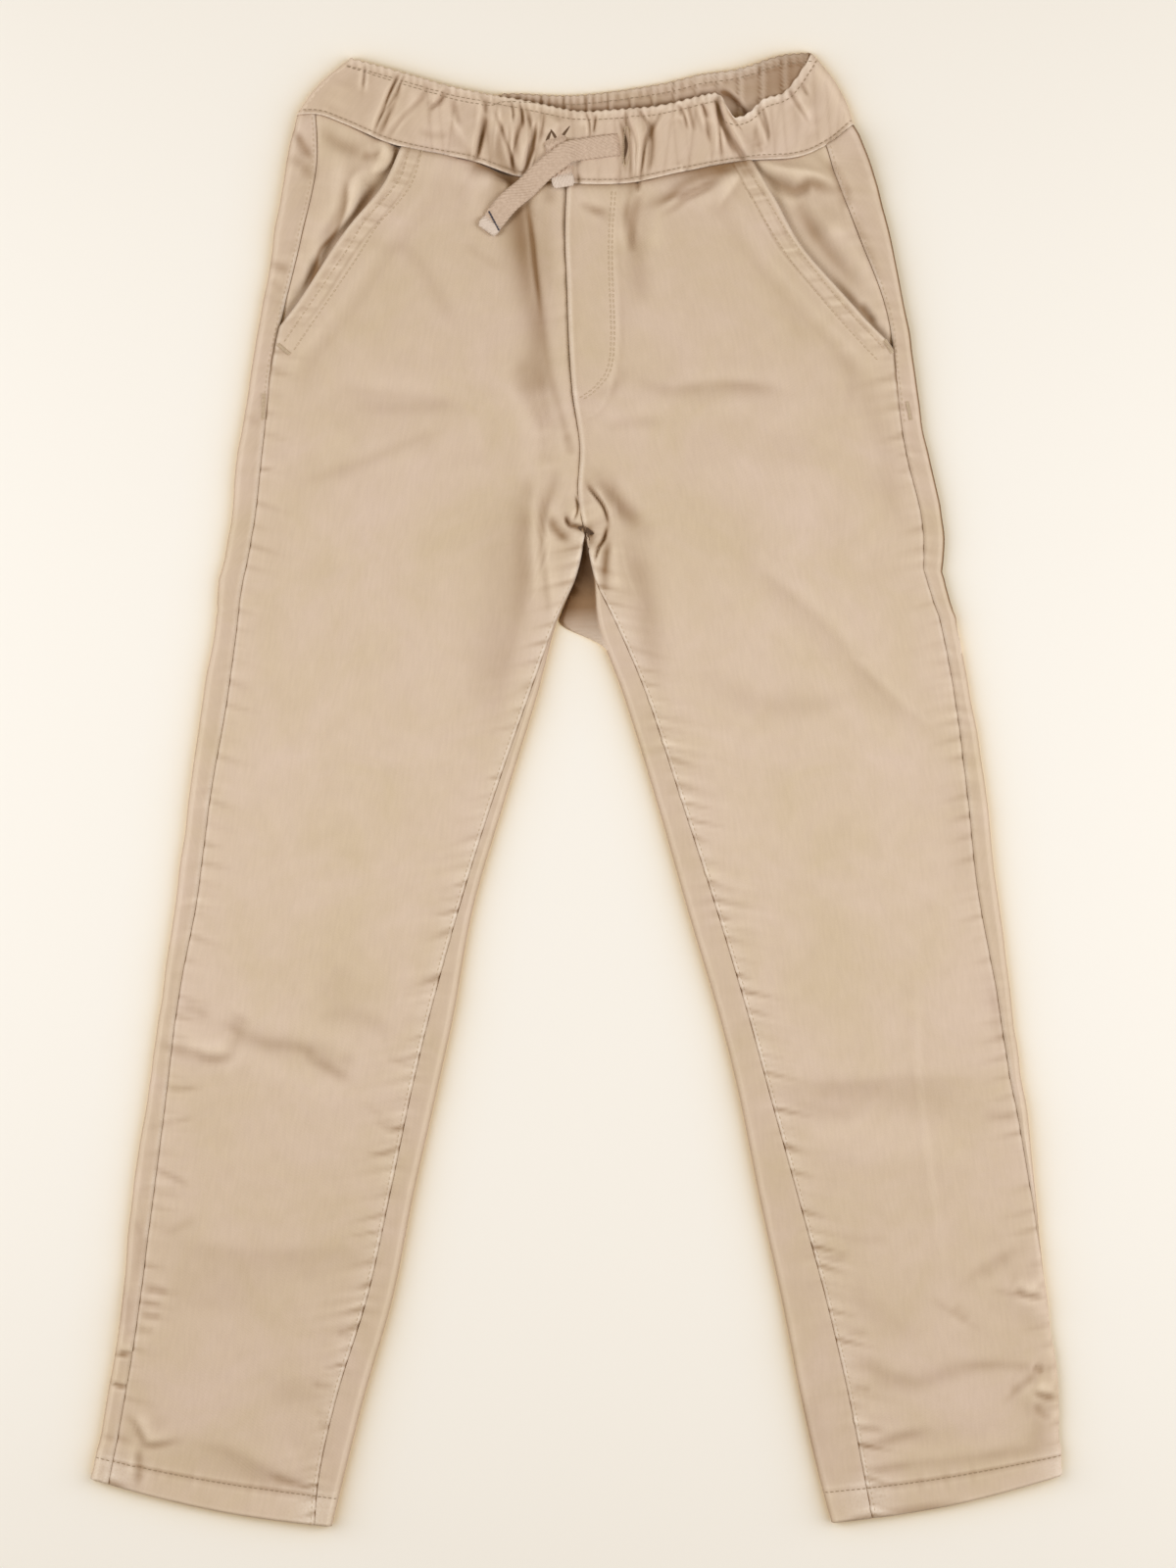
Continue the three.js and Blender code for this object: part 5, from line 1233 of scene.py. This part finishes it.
def stitch_row(tree, line, pitch, length=2.1, width=0.55, lift=0.12):
    """Stitches laid along a line on the surface."""
    places = []
    middles, ways = even_points(line, pitch)
    for (x, y), (way_x, way_y) in zip(middles, ways):
        z, normal = height_at(tree, x, y)
        if z is None:
            continue
        run = math.hypot(way_x, way_y)
        tip_x, tip_y = x + 0.4 * length * way_x / run, y + 0.4 * length * way_y / run
        tip_z, _ = height_at(tree, tip_x, tip_y)
        rise = 0 if tip_z is None else tip_z - z
        along = Vector((tip_x - x, tip_y - y, rise))
        places.append(((x, y, z + lift), along, normal, length, width))
    return places


def bar_tack(tree, line):
    """A bar tack: threads side by side across a short line."""
    places = []
    middles, ways = even_points(line, 0.7)
    for (x, y), (way_x, way_y) in zip(middles, ways):
        z, normal = height_at(tree, x, y)
        if z is not None:
            places.append(((x, y, z + 0.25), (-way_y, way_x, 0), normal, 2.4, 0.75))
    return places


def side_line(points, offset):
    """A line moved to its left by an offset."""
    line = rounded_line(points)
    ahead = np.gradient(line, axis=0)
    left = np.stack([-ahead[:, 1], ahead[:, 0]], axis=-1) / np.hypot(*ahead.T)[:, None]
    return line + offset * left


def side_seam_line(half, inset):
    """A row on the back beside the side seam, from the waist to the bar tack."""
    place = np.linspace(0.1, 4.6, 40)[:, None]
    s = section_at(half, place)
    points, _ = tube_points(half, s, s["side"] - inset)
    return points[:, 0, :2]


def inseam_line(half, inset):
    """A row on the front beside the inseam, from the crotch to the hem."""
    place = np.linspace(CROTCH + 1.2, HEM, 90)[:, None]
    s = section_at(half, place)
    arc = s["top"] - s["inseam"] - s["open"] * s["inner_quarter"] - inset
    points, _ = tube_points(half, s, arc)
    return points[:, 0, :2]


def hem_line(half):
    """The row round the front of the hem that holds its turning."""
    place, along, whole = garment_rows(half)
    at = np.interp(whole - HEM_ROW, along[:, 0], place[:, 0])
    s = section_at(half, np.array([[at]]))
    points, _ = tube_points(half, s, np.linspace(0, s["top"][0, 0], 60)[None, :])
    return points[0, :, :2]


def buttonhole(tree, line):
    """A buttonhole's close stitches, across an oval round its slit."""
    line = rounded_line(line)
    middle, reach = line[len(line) // 2], np.hypot(*(line[-1] - line[0])) / 2 + 1.6
    along = (line[-1] - line[0]) / np.hypot(*(line[-1] - line[0]))
    across = np.array([-along[1], along[0]])
    places = []
    for angle in np.linspace(0, 2 * math.pi, 64, endpoint=False):
        out = along * math.cos(angle) * reach + across * math.sin(angle) * 1.7
        x, y = middle + out
        z, normal = height_at(tree, x, y)
        if z is not None:
            places.append(((x, y, z + 0.15), (*across, 0), normal, 1.5, 0.7))
    return places


def painted_shade_sheet(name, tree, lines, half_width):
    """Dark almond-shaped sheets of painted shade, laid on the cloth over slits and openings."""
    bm = bmesh.new()
    for line in lines:
        line = rounded_line(line)
        along = (line[-1] - line[0]) / np.hypot(*(line[-1] - line[0]))
        made = bmesh.ops.create_grid(bm, x_segments=2, y_segments=10, size=0.5)["verts"]
        for vert in made:
            share = vert.co.y + 0.5
            at = share * (len(line) - 1)
            x, y = (np.interp(at, range(len(line)), values) for values in line.T)
            swell = math.sin(math.pi * min(max(share, 0.03), 0.97)) ** 0.7
            off = vert.co.x * 2 * half_width * swell
            x, y = x - along[1] * off, y + along[0] * off
            z, _ = height_at(tree, x, y)
            vert.co = Vector((x, y, (z or BAND_REST) + 0.12)) * MM
    bmesh.ops.recalc_face_normals(bm, faces=bm.faces)
    for face in bm.faces:
        if face.normal.z < 0:
            face.normal_flip()
    mesh = mesh_from(bm, name)
    mesh.uv_layers.new(name="cloth")
    return mesh


def windows(values, reach):
    """The values moved by each step up to a reach, either way."""
    padded = np.pad(values, reach, "edge")
    return [padded[step : step + len(values)] for step in range(2 * reach + 1)]


def tape_path(line, tree, width):
    """The middle line of a tape laid over the surface, dipping into its buttonhole."""
    middles, ways = even_points(rounded_line(line, 12), TAPE_STEP)
    ways = ways / np.hypot(*ways.T)[:, None]
    heights = []
    for (x, y), (way_x, way_y) in zip(middles, ways):
        reach = [share * width for share in (-0.42, -0.2, 0, 0.2, 0.42)]
        found = [height_at(tree, x - way_y * off, y + way_x * off)[0] for off in reach]
        heights.append(max(z for z in found if z is not None))
    level = np.mean(windows(np.max(windows(heights, 3), axis=0), 3), axis=0) + 0.25
    level -= TAPE_DIP * (1 - smooth(0, 5, TAPE_STEP * np.arange(len(level))))
    return middles, ways, level


def tape_piece(name, line, tree, node, folded):
    """A length of flat tape: its middle line, crowned across, with a folded, sewn end."""
    settings = bpy.context.scene.trousers
    width, thick = settings.tape_width / MM, settings.tape_thickness / MM
    middles, ways, level = tape_path(line, tree, width)
    along = TAPE_STEP * np.arange(len(middles))
    to_end = along[-1] - along
    across = np.linspace(-0.5, 0.5, 13)
    narrow = 1 - 0.06 * bump_at(to_end, folded, 1.2) - 0.16 * bump_at(to_end, 0, 1.4)
    offset = across[None, :] * width * narrow[:, None]
    x = middles[:, :1] + ways[:, 1:] * offset
    y = middles[:, 1:] - ways[:, :1] * offset
    crown = thick * (1 - 0.45 * np.abs(2 * across) ** 5)[None, :]
    double = 0.9 * (1 - smooth(folded - 0.8, folded + 0.8, to_end))[:, None]
    groove = 0.8 * bump_at(to_end, folded, 0.8)[:, None] + 0.7 * bump_at(to_end, 0, 0.9)[:, None]
    z = level[:, None] + crown + double - groove + 0 * x
    wear_and_painted_pale = 0.5 * (1 - smooth(folded - 0.5, folded + 0.5, to_end))[:, None] + 0 * x
    points = np.stack([x, y, z], axis=-1)
    mesh = sheet_mesh(name, points, offset + width, along[:, None] + 0 * x, wear_and_painted_pale, 0 * x, None, True)
    if mesh.polygons[len(mesh.polygons) // 2].normal.z < 0:
        mesh.flip_normals()
    piece = finish_piece(name, mesh, "Woven cotton tape", (node,))
    give_wall(piece, thick * MM)
    centre = np.stack([middles[:, 0], middles[:, 1], level + thick / 2], axis=-1) * MM
    return piece, centre


# ---- Materials ----


def add_node(tree, kind, settings=(), links=(), output=0):
    """Adds a node with its settings, by property or socket name, and links its inputs.

    Where a socket's setting is text, it is a hex colour. The node's output is handed back.
    """
    node = tree.nodes.new("ShaderNode" + kind)
    for name, value in dict(settings).items():
        if isinstance(name, str) and hasattr(node, name):
            setattr(node, name, value)
        else:
            coloured = isinstance(value, str)
            node.inputs[name].default_value = (*srgb(value), 1) if coloured else value
    for name, source in dict(links).items():
        tree.links.new(source, node.inputs[name])
    return node.outputs[output]


def new_material(name, roughness, sheen, specular):
    """A material's node tree and its shader, ready for colour and bump."""
    material = bpy.data.materials.new(name)
    material.use_nodes = True
    shader = material.node_tree.nodes["Principled BSDF"]
    shader.inputs["Roughness"].default_value = roughness
    shader.inputs["Specular IOR Level"].default_value = specular
    shader.inputs["Sheen Weight"].default_value = sheen
    shader.inputs["Sheen Roughness"].default_value = 0.5
    return material.node_tree, shader


def wave_scale(pitch_mm):
    """The Wave node's scale for bands of a pitch, on coordinates in metres."""
    return 2 * math.pi / (20 * pitch_mm * MM)


def brushed_twill(name, base, shade, pale_colour):
    """Brushed cotton twill, washed soft: matt, with a fine diagonal rib and a slight nap.

    The colour clouds where it has been washed, the seams and edges have rubbed pale, and painted shade
    darkens it in its folds.
    """
    tree, shader = new_material(name, 0.86, 0.12, 0.22)
    cloth = add_node(tree, "UVMap", {"uv_map": "cloth"})
    # The real rib is about 0.6 mm wide and is drawn at 1.5 mm, so that it shows at this size.
    ribs = add_node(tree, "Mapping", {"Rotation": (0, 0, math.radians(62))}, {0: cloth})
    wave = {"Scale": wave_scale(1.5), "Distortion": 1.2, "Detail": 1.0, "Detail Scale": 0.6}
    ribs = add_node(tree, "TexWave", wave, {"Vector": ribs}, "Fac")
    # Yarns a little thicker and thinner, in short lengths along the leg.
    slubs = add_node(tree, "Mapping", {"Scale": (620, 90, 1)}, {0: cloth})
    slubs = add_node(tree, "TexNoise", {"Scale": 1.0, "Detail": 3.0}, {"Vector": slubs})
    nap = add_node(tree, "TexNoise", {"Scale": 700.0, "Detail": 2.0}, {"Vector": cloth})
    cloud = {"Scale": 17.0, "Detail": 5.0, "Roughness": 0.62, "Distortion": 0.5}
    clouds = add_node(tree, "TexNoise", cloud, {"Vector": cloth})
    clouds = add_node(tree, "MapRange", {"From Min": 0.3, "From Max": 0.7}, {"Value": clouds})
    colour = add_node(tree, "Mix", {"data_type": "RGBA", 6: shade, 7: base}, {0: clouds}, 2)
    ends = {"From Min": 0.25, "From Max": 0.75, "To Min": 0.97, "To Max": 1.03}
    slubs = add_node(tree, "MapRange", ends, {"Value": slubs})
    colour = add_node(tree, "VectorMath", {"operation": "SCALE"}, {0: colour, "Scale": slubs})
    wear_and_painted_pale = add_node(tree, "Attribute", {"attribute_name": "wear_and_painted_pale"}, output="Fac")
    ends = {"From Min": 0.3, "From Max": 0.62, "To Min": 0.35, "To Max": 0.9}
    broken = add_node(tree, "MapRange", ends, {"Value": nap})
    wear_and_painted_pale = add_node(tree, "Math", {"operation": "MULTIPLY"}, {0: wear_and_painted_pale, 1: broken})
    colour = add_node(tree, "Mix", {"data_type": "RGBA", 7: pale_colour}, {0: wear_and_painted_pale, 6: colour}, 2)
    # Painted shade darkens folds and shaded places, with a deeper tint past 3.6, and crests less.
    painted_shade = add_node(tree, "Attribute", {"attribute_name": "painted_shade"}, output="Fac")
    for tint, low, high in (("a18a70", -1.0, 3.0), ("5f4a38", 3.6, 7.0)):
        deep = add_node(tree, "MapRange", {"From Min": low, "From Max": high}, {"Value": painted_shade})
        multiply = {"data_type": "RGBA", "blend_type": "MULTIPLY", 7: tint}
        colour = add_node(tree, "Mix", multiply, {0: deep, 6: colour}, 2)
    tree.links.new(colour, shader.inputs["Base Color"])
    soft = add_node(tree, "TexNoise", {"Scale": 95.0, "Detail": 3.0}, {"Vector": cloth})
    bump = add_node(tree, "Bump", {"Strength": 0.25, "Distance": 0.0012}, {"Height": soft})
    for height, strength, distance in ((nap, 0.35, 0.00025), (ribs, 0.3, 0.00012)):
        size = {"Strength": strength, "Distance": distance}
        bump = add_node(tree, "Bump", size, {"Height": height, "Normal": bump})
    tree.links.new(bump, shader.inputs["Normal"])


def woven_tape(name, base, shade, pale_colour):
    """Cotton tape woven flat in a herringbone: matt, with coarse slanting ribs."""
    tree, shader = new_material(name, 0.9, 0.1, 0.2)
    cloth = add_node(tree, "UVMap", {"uv_map": "cloth"})
    # Yarns 0.9 mm apart, drawn at 1.5 mm so that they show at this size.
    ribs = add_node(tree, "Mapping", {"Rotation": (0, 0, math.radians(35))}, {0: cloth})
    wave = {"Scale": wave_scale(1.5), "Distortion": 2.0, "Detail": 1.0}
    ribs = add_node(tree, "TexWave", wave, {"Vector": ribs}, "Fac")
    nap = add_node(tree, "TexNoise", {"Scale": 600.0, "Detail": 2.0}, {"Vector": cloth})
    colour = add_node(tree, "Mix", {"data_type": "RGBA", 6: shade, 7: base}, {0: nap}, 2)
    wear_and_painted_pale = add_node(tree, "Attribute", {"attribute_name": "wear_and_painted_pale"}, output="Fac")
    colour = add_node(tree, "Mix", {"data_type": "RGBA", 7: pale_colour}, {0: wear_and_painted_pale, 6: colour}, 2)
    tree.links.new(colour, shader.inputs["Base Color"])
    bump = add_node(tree, "Bump", {"Strength": 0.5, "Distance": 0.0003}, {"Height": nap})
    size = {"Strength": 0.7, "Distance": 0.0003}
    bump = add_node(tree, "Bump", size, {"Height": ribs, "Normal": bump})
    tree.links.new(bump, shader.inputs["Normal"])


def spun_thread(name, base, shade):
    """Spun polyester sewing thread: a dull sheen, and a fine twist along it."""
    tree, shader = new_material(name, 0.7, 0.05, 0.35)
    place = add_node(tree, "TexCoord", output="Object")
    twist = add_node(tree, "TexNoise", {"Scale": 900.0, "Detail": 1.0}, {"Vector": place})
    colour = add_node(tree, "Mix", {"data_type": "RGBA", 6: shade, 7: base}, {0: twist}, 2)
    tree.links.new(colour, shader.inputs["Base Color"])
    bump = add_node(tree, "Bump", {"Strength": 0.4, "Distance": 0.0001}, {"Height": twist})
    tree.links.new(bump, shader.inputs["Normal"])


def matt_paper(name, base, warm_painted_shade):
    """Uncoated cream paper: matt, with a very faint tooth, and painted warm shade where the cloth is
    near.
    """
    tree, shader = new_material(name, 0.95, 0.0, 0.15)
    # Painted shade: the paper is painted warmer and darker where the cloth is near it.
    near = add_node(tree, "AmbientOcclusion", {"samples": 8, "Distance": 0.03}, output="AO")
    colour = add_node(tree, "Mix", {"data_type": "RGBA", 6: warm_painted_shade, 7: base}, {0: near}, 2)
    tree.links.new(colour, shader.inputs["Base Color"])
    place = add_node(tree, "TexCoord", output="Object")
    tooth = add_node(tree, "TexNoise", {"Scale": 260.0, "Detail": 2.0}, {"Vector": place})
    bump = add_node(tree, "Bump", {"Strength": 0.05, "Distance": 0.0002}, {"Height": tooth})
    tree.links.new(bump, shader.inputs["Normal"])


# ---- Settings, operators and panel ----


def colour_setting(name, description, code):
    """A colour that a user may change, from its hex code."""
    return FloatVectorProperty(
        name=name, default=srgb(code), size=3, min=0.0, max=1.0, subtype="COLOR",
        description=description,
    )


class TrousersSettings(bpy.types.PropertyGroup):
    """Thicknesses, stitches, light and colours"""

    cloth: FloatProperty(
        name="Hem wall", default=0.002, min=0.001, max=0.004, unit="LENGTH",
        description="Thickness of the turned hems; the single cloth is 0.6 of it",
    )
    tape_width: FloatProperty(
        name="Tape width", default=0.012, min=0.006, max=0.02, unit="LENGTH",
        description="Width of the drawcord's flat tape",
    )
    tape_thickness: FloatProperty(
        name="Tape thickness", default=0.0014, min=0.0006, max=0.003, unit="LENGTH",
        description="Thickness of the drawcord's flat tape",
    )
    stitch_pitch: FloatProperty(
        name="Stitch pitch", default=0.0029, min=0.002, max=0.006, unit="LENGTH",
        description="Distance from one topstitch to the next",
    )
    light: FloatProperty(
        name="Light", default=30.6, min=1.0, max=500.0, unit="POWER",
        description="Power of the stronger soft light",
    )
    twill: colour_setting("Twill", "Colour of the panels' brushed twill", "ebd3c0")
    casing: colour_setting("Waistband", "Colour of the twill over the elastic", "e5ccb8")
    tape: colour_setting("Tape", "Colour of the drawcord's cotton tape", "dfc4ae")
    thread: colour_setting("Thread", "Colour of the sewing thread", "d6bfa3")


def make_materials():
    """The garment's finishes, made once and shared."""
    if "Brushed cotton twill" in bpy.data.materials:
        return bpy.data.materials
    settings = bpy.context.scene.trousers
    brushed_twill("Brushed cotton twill", (*settings.twill, 1), "e3ccaf", "fbeada")
    brushed_twill("Twill casing over elastic", (*settings.casing, 1), "dcc3a8", "fbeada")
    # A dark copy of the twill, painted in shade, for the buttonholes and under the crotch's flap.
    brushed_twill("Twill in painted shade", "7a5f47", "6a503a", "8a6f57")
    woven_tape("Woven cotton tape", (*settings.tape, 1), "b89c86", "ecdcd0")
    spun_thread("Khaki sewing thread", (*settings.thread, 1), "c2a98c")
    # A darker copy of the thread, painted in shade where it sinks in the cloth.
    spun_thread("Khaki thread in painted shade", "ad9478", "957d62")
    spun_thread("Dark bar tack thread", "4a4652", "33303a")
    return bpy.data.materials


def build_panel(name, panel, half, replaces):
    """A panel of one half as a piece: its grid, its finish and its wall."""
    mesh = sheet_mesh(name, *panel, flipped=half["name"] == "left")
    piece = finish_piece(name, mesh, "Brushed cotton twill", replaces)
    thick = bpy.context.scene.trousers.cloth
    if "wall" not in mesh.attributes:
        give_wall(piece, SINGLE_WALL * thick)
        return piece
    shares = np.empty(len(mesh.vertices), np.float32)
    mesh.attributes["wall"].data.foreach_get("value", shares)
    give_wall(piece, thick, np.round(shares, 2))
    return piece


class TROUSERS_OT_stage(bpy.types.Operator):
    """Sets the camera over the garment, the paper under it and the soft lights beside it"""

    bl_idname = "trousers.stage"
    bl_label = "Stage, camera and lights"

    def execute(self, context):
        scene = context.scene
        scene.view_settings.view_transform = "Standard"
        camera = bpy.data.cameras.new("Camera")
        camera.lens = 85.0
        camera.sensor_fit = "VERTICAL"
        camera.sensor_height = 36.0
        camera.clip_end = 50.0
        view = bpy.data.objects.new("Camera", camera)
        distance = VIEW_TALL * camera.lens / camera.sensor_height
        view.location = Vector(VIEW_MIDDLE) + Vector((0, 0, distance))
        scene.collection.objects.link(view)
        scene.camera = view
        bm = bmesh.new()
        bmesh.ops.create_grid(bm, x_segments=1, y_segments=1, size=4.0)
        bmesh.ops.translate(bm, verts=bm.verts, vec=(0, 0, -0.0002))
        mesh = mesh_from(bm, "floor")
        matt_paper("Uncoated cream paper", "f7efe6", "ffe0a0")
        mesh.materials.append(bpy.data.materials["Uncoated cream paper"])
        floor = bpy.data.objects.new("floor", mesh)
        scene.collection.objects.link(floor)
        # Soft boxes light the cloth from both sides. The paper has its own, lower and nearer, so
        # that each leg's shadow falls mostly on its inner side.
        power = scene.trousers.light
        for name, place, size, share, reach in (
            ("Soft light left", (-1.6, 0.2, 1.3), (1.2, 1.1), 0.95, "EXCLUDE"),
            ("Soft light right", (1.6, -0.05, 1.25), (1.2, 1.1), 1.0, "EXCLUDE"),
            ("Paper light left", (-1.0, 0.1, 0.8), (0.9, 1.9), 0.5, "INCLUDE"),
            ("Paper light right", (1.0, 0.0, 0.8), (0.9, 1.9), 0.5, "INCLUDE"),
        ):
            light = bpy.data.lights.new(name, "AREA")
            light.shape = "RECTANGLE"
            light.size, light.size_y = size
            light.energy = power * share
            light.color = srgb("e3f0ff")
            lamp = bpy.data.objects.new(name, light)
            lamp.location = place
            lamp.rotation_euler = (-Vector(place)).to_track_quat("-Z", "Y").to_euler()
            scene.collection.objects.link(lamp)
            lit = bpy.data.collections.new(name)
            lit.objects.link(floor)
            lit.collection_objects[0].light_linking.link_state = reach
            lamp.light_linking.receiver_collection = lit
        world = bpy.data.worlds.new("Studio")
        scene.world = world
        world.use_nodes = True
        sky = world.node_tree.nodes["Background"]
        sky.inputs["Color"].default_value = (*srgb("ffe8b8"), 1)
        sky.inputs["Strength"].default_value = 0.39
        return {"FINISHED"}


class TROUSERS_OT_backs(bpy.types.Operator):
    """Builds the two back panels, which fold round to the side seams and inseams"""

    bl_idname = "trousers.backs"
    bl_label = "Back panels"

    def execute(self, context):
        for half in HALVES:
            name = "back_" + half["name"]
            piece = build_panel(name + "_cloth", back_panel(half), half, (name,))
        return {"FINISHED"}


class TROUSERS_OT_pockets(bpy.types.Operator):
    """Builds the pocket backs, which show as side panels above the pockets' mouths"""

    bl_idname = "trousers.pockets"
    bl_label = "Pocket backs"

    def execute(self, context):
        for half in HALVES:
            name = "pocket_" + half["name"]
            piece = build_panel(name + "_cloth", pocket_panel(half), half, (name,))
        return {"FINISHED"}


class TROUSERS_OT_fronts(bpy.types.Operator):
    """Builds the two front panels, with their slanting pocket mouths and the mock fly"""

    bl_idname = "trousers.fronts"
    bl_label = "Front panels"

    def execute(self, context):
        for half in HALVES:
            name = "front_" + half["name"]
            stood_for = (name, "fly_facing") if half["fly"] else (name,)
            piece = build_panel(name + "_cloth", front_panel(half), half, stood_for)
        return {"FINISHED"}


class TROUSERS_OT_waistband(bpy.types.Operator):
    """Builds the gathered waistband, a closed casing round its elastic"""

    bl_idname = "trousers.waistband"
    bl_label = "Waistband"

    def execute(self, context):
        mesh = sheet_mesh("waistband_cloth", *band_points())
        bm = bmesh.new()
        bm.from_mesh(mesh)
        bmesh.ops.remove_doubles(bm, verts=bm.verts, dist=0.00001)
        bmesh.ops.recalc_face_normals(bm, faces=bm.faces)
        bm.to_mesh(mesh)
        bm.free()
        finish = "Twill casing over elastic"
        piece = finish_piece("waistband_cloth", mesh, finish, ("waistband",))
        return {"FINISHED"}


class TROUSERS_OT_drawcord(bpy.types.Operator):
    """Lays the drawcord's two ends out of their buttonholes, the long one over the short one"""

    bl_idname = "trousers.drawcord"
    bl_label = "Drawcord"

    def execute(self, context):
        short, _ = tape_piece(
            "drawcord_short_end", SHORT_END, garment_tree(*UPPER), "drawcord_right_end", 7.0
        )
        tree = garment_tree(*UPPER, "drawcord_short_end")
        long, centre = tape_piece("drawcord_long_end", LONG_END, tree, "drawcord_left_end", 6.0)
        tree = garment_tree("drawcord_long_end")
        places = stitch_row(tree, DARK_BAR, 1.5, 1.7, 1.1, 0.2)
        mesh = threads_mesh("drawcord_tack", places)
        tack = finish_piece("drawcord_tack", mesh, "Dark bar tack thread")
        return {"FINISHED"}


class TROUSERS_OT_stitches(bpy.types.Operator):
    """Lays the topstitching of the seams, pockets, mock fly, hems and waistband"""

    bl_idname = "trousers.stitches"
    bl_label = "Topstitching"

    def execute(self, context):
        tree = garment_tree(*UPPER)
        pitch = context.scene.trousers.stitch_pitch / MM
        places = []
        for line, offsets in (
            (POCKET_RIGHT_MOUTH, POCKET_ROWS),
            (POCKET_LEFT_MOUTH, [-offset for offset in POCKET_ROWS]),
            (FLY_J, (0, -1.8)),
        ):
            for offset in offsets:
                places += stitch_row(tree, side_line(line, offset), pitch)
        # Beside the seams the stitches are shorter and finer, and sink in further.
        for half in HALVES:
            places += stitch_row(tree, inseam_line(half, 2.2), pitch, 1.8, 0.4, 0.05)
            places += stitch_row(tree, side_seam_line(half, 1.8), pitch, 1.8, 0.45, 0.08)
        mesh = threads_mesh("topstitching", places)
        finish_piece("topstitching", mesh, "Khaki sewing thread")
        # The rows at the hems and the waistband are in the thread painted in shade.
        places = []
        for half in HALVES:
            places += stitch_row(tree, hem_line(half), pitch)
        for table, offset in ((WAIST_SEAM, 2.2), (BAND_FRONT_TOP, -3.8), (BAND_BACK_TOP, -4.2)):
            places += stitch_row(tree, side_line(table, offset), pitch)
        mesh = threads_mesh("sunk_stitches", places)
        finish_piece("sunk_stitches", mesh, "Khaki thread in painted shade")
        return {"FINISHED"}


class TROUSERS_OT_tacks(bpy.types.Operator):
    """Sews the bar tacks of the pockets and the drawcord's left buttonhole, and lays painted shade in
    both buttonholes and under the crotch's flap
    """

    bl_idname = "trousers.tacks"
    bl_label = "Bar tacks and buttonholes"

    def execute(self, context):
        tree = garment_tree(*UPPER)
        places = []
        for line in BAR_TACKS:
            places += bar_tack(tree, line)
        places += buttonhole(tree, HOLE_LEFT)
        mesh = threads_mesh("bar_tacks", places)
        finish_piece("bar_tacks", mesh, "Khaki sewing thread")
        # Dark sheets of painted shade lie in the buttonholes and under the crotch's flap.
        for name, lines, half_width in (
            ("buttonhole_painted_shade", (HOLE_LEFT, *HOLE_RIGHT), 0.75),
            ("crotch_painted_shade", FLAP_PAINTED_SHADE, 1.7),
        ):
            mesh = painted_shade_sheet(name, tree, lines, half_width)
            finish_piece(name, mesh, "Twill in painted shade")
        return {"FINISHED"}


OPERATORS = (
    TROUSERS_OT_stage,
    TROUSERS_OT_backs,
    TROUSERS_OT_pockets,
    TROUSERS_OT_fronts,
    TROUSERS_OT_waistband,
    TROUSERS_OT_drawcord,
    TROUSERS_OT_stitches,
    TROUSERS_OT_tacks,
)


class TROUSERS_PT_panel(bpy.types.Panel):
    """Sizes and pieces of the trousers"""

    bl_idname = "TROUSERS_PT_panel"
    bl_label = "Trousers"
    bl_space_type = "VIEW_3D"
    bl_region_type = "UI"
    bl_category = "Trousers"

    def draw(self, context):
        settings = context.scene.trousers
        column = self.layout.column(align=True)
        for name in TrousersSettings.__annotations__:
            column.prop(settings, name)
        column = self.layout.column(align=True)
        for operator in OPERATORS:
            column.operator(operator.bl_idname)


CLASSES = (TrousersSettings, *OPERATORS, TROUSERS_PT_panel)


def register():
    """Registers the classes and the scene's settings."""
    for cls in CLASSES:
        bpy.utils.register_class(cls)
    bpy.types.Scene.trousers = PointerProperty(type=TrousersSettings)


def unregister():
    """Removes what register() added."""
    del bpy.types.Scene.trousers
    for cls in reversed(CLASSES):
        bpy.utils.unregister_class(cls)


def main():
    """Builds the stage and every piece."""
    register()
    for operator in OPERATORS:
        group, name = operator.bl_idname.split(".")
        getattr(getattr(bpy.ops, group), name)()
    bpy.context.view_layer.update()


if __name__ == "__main__":
    main()
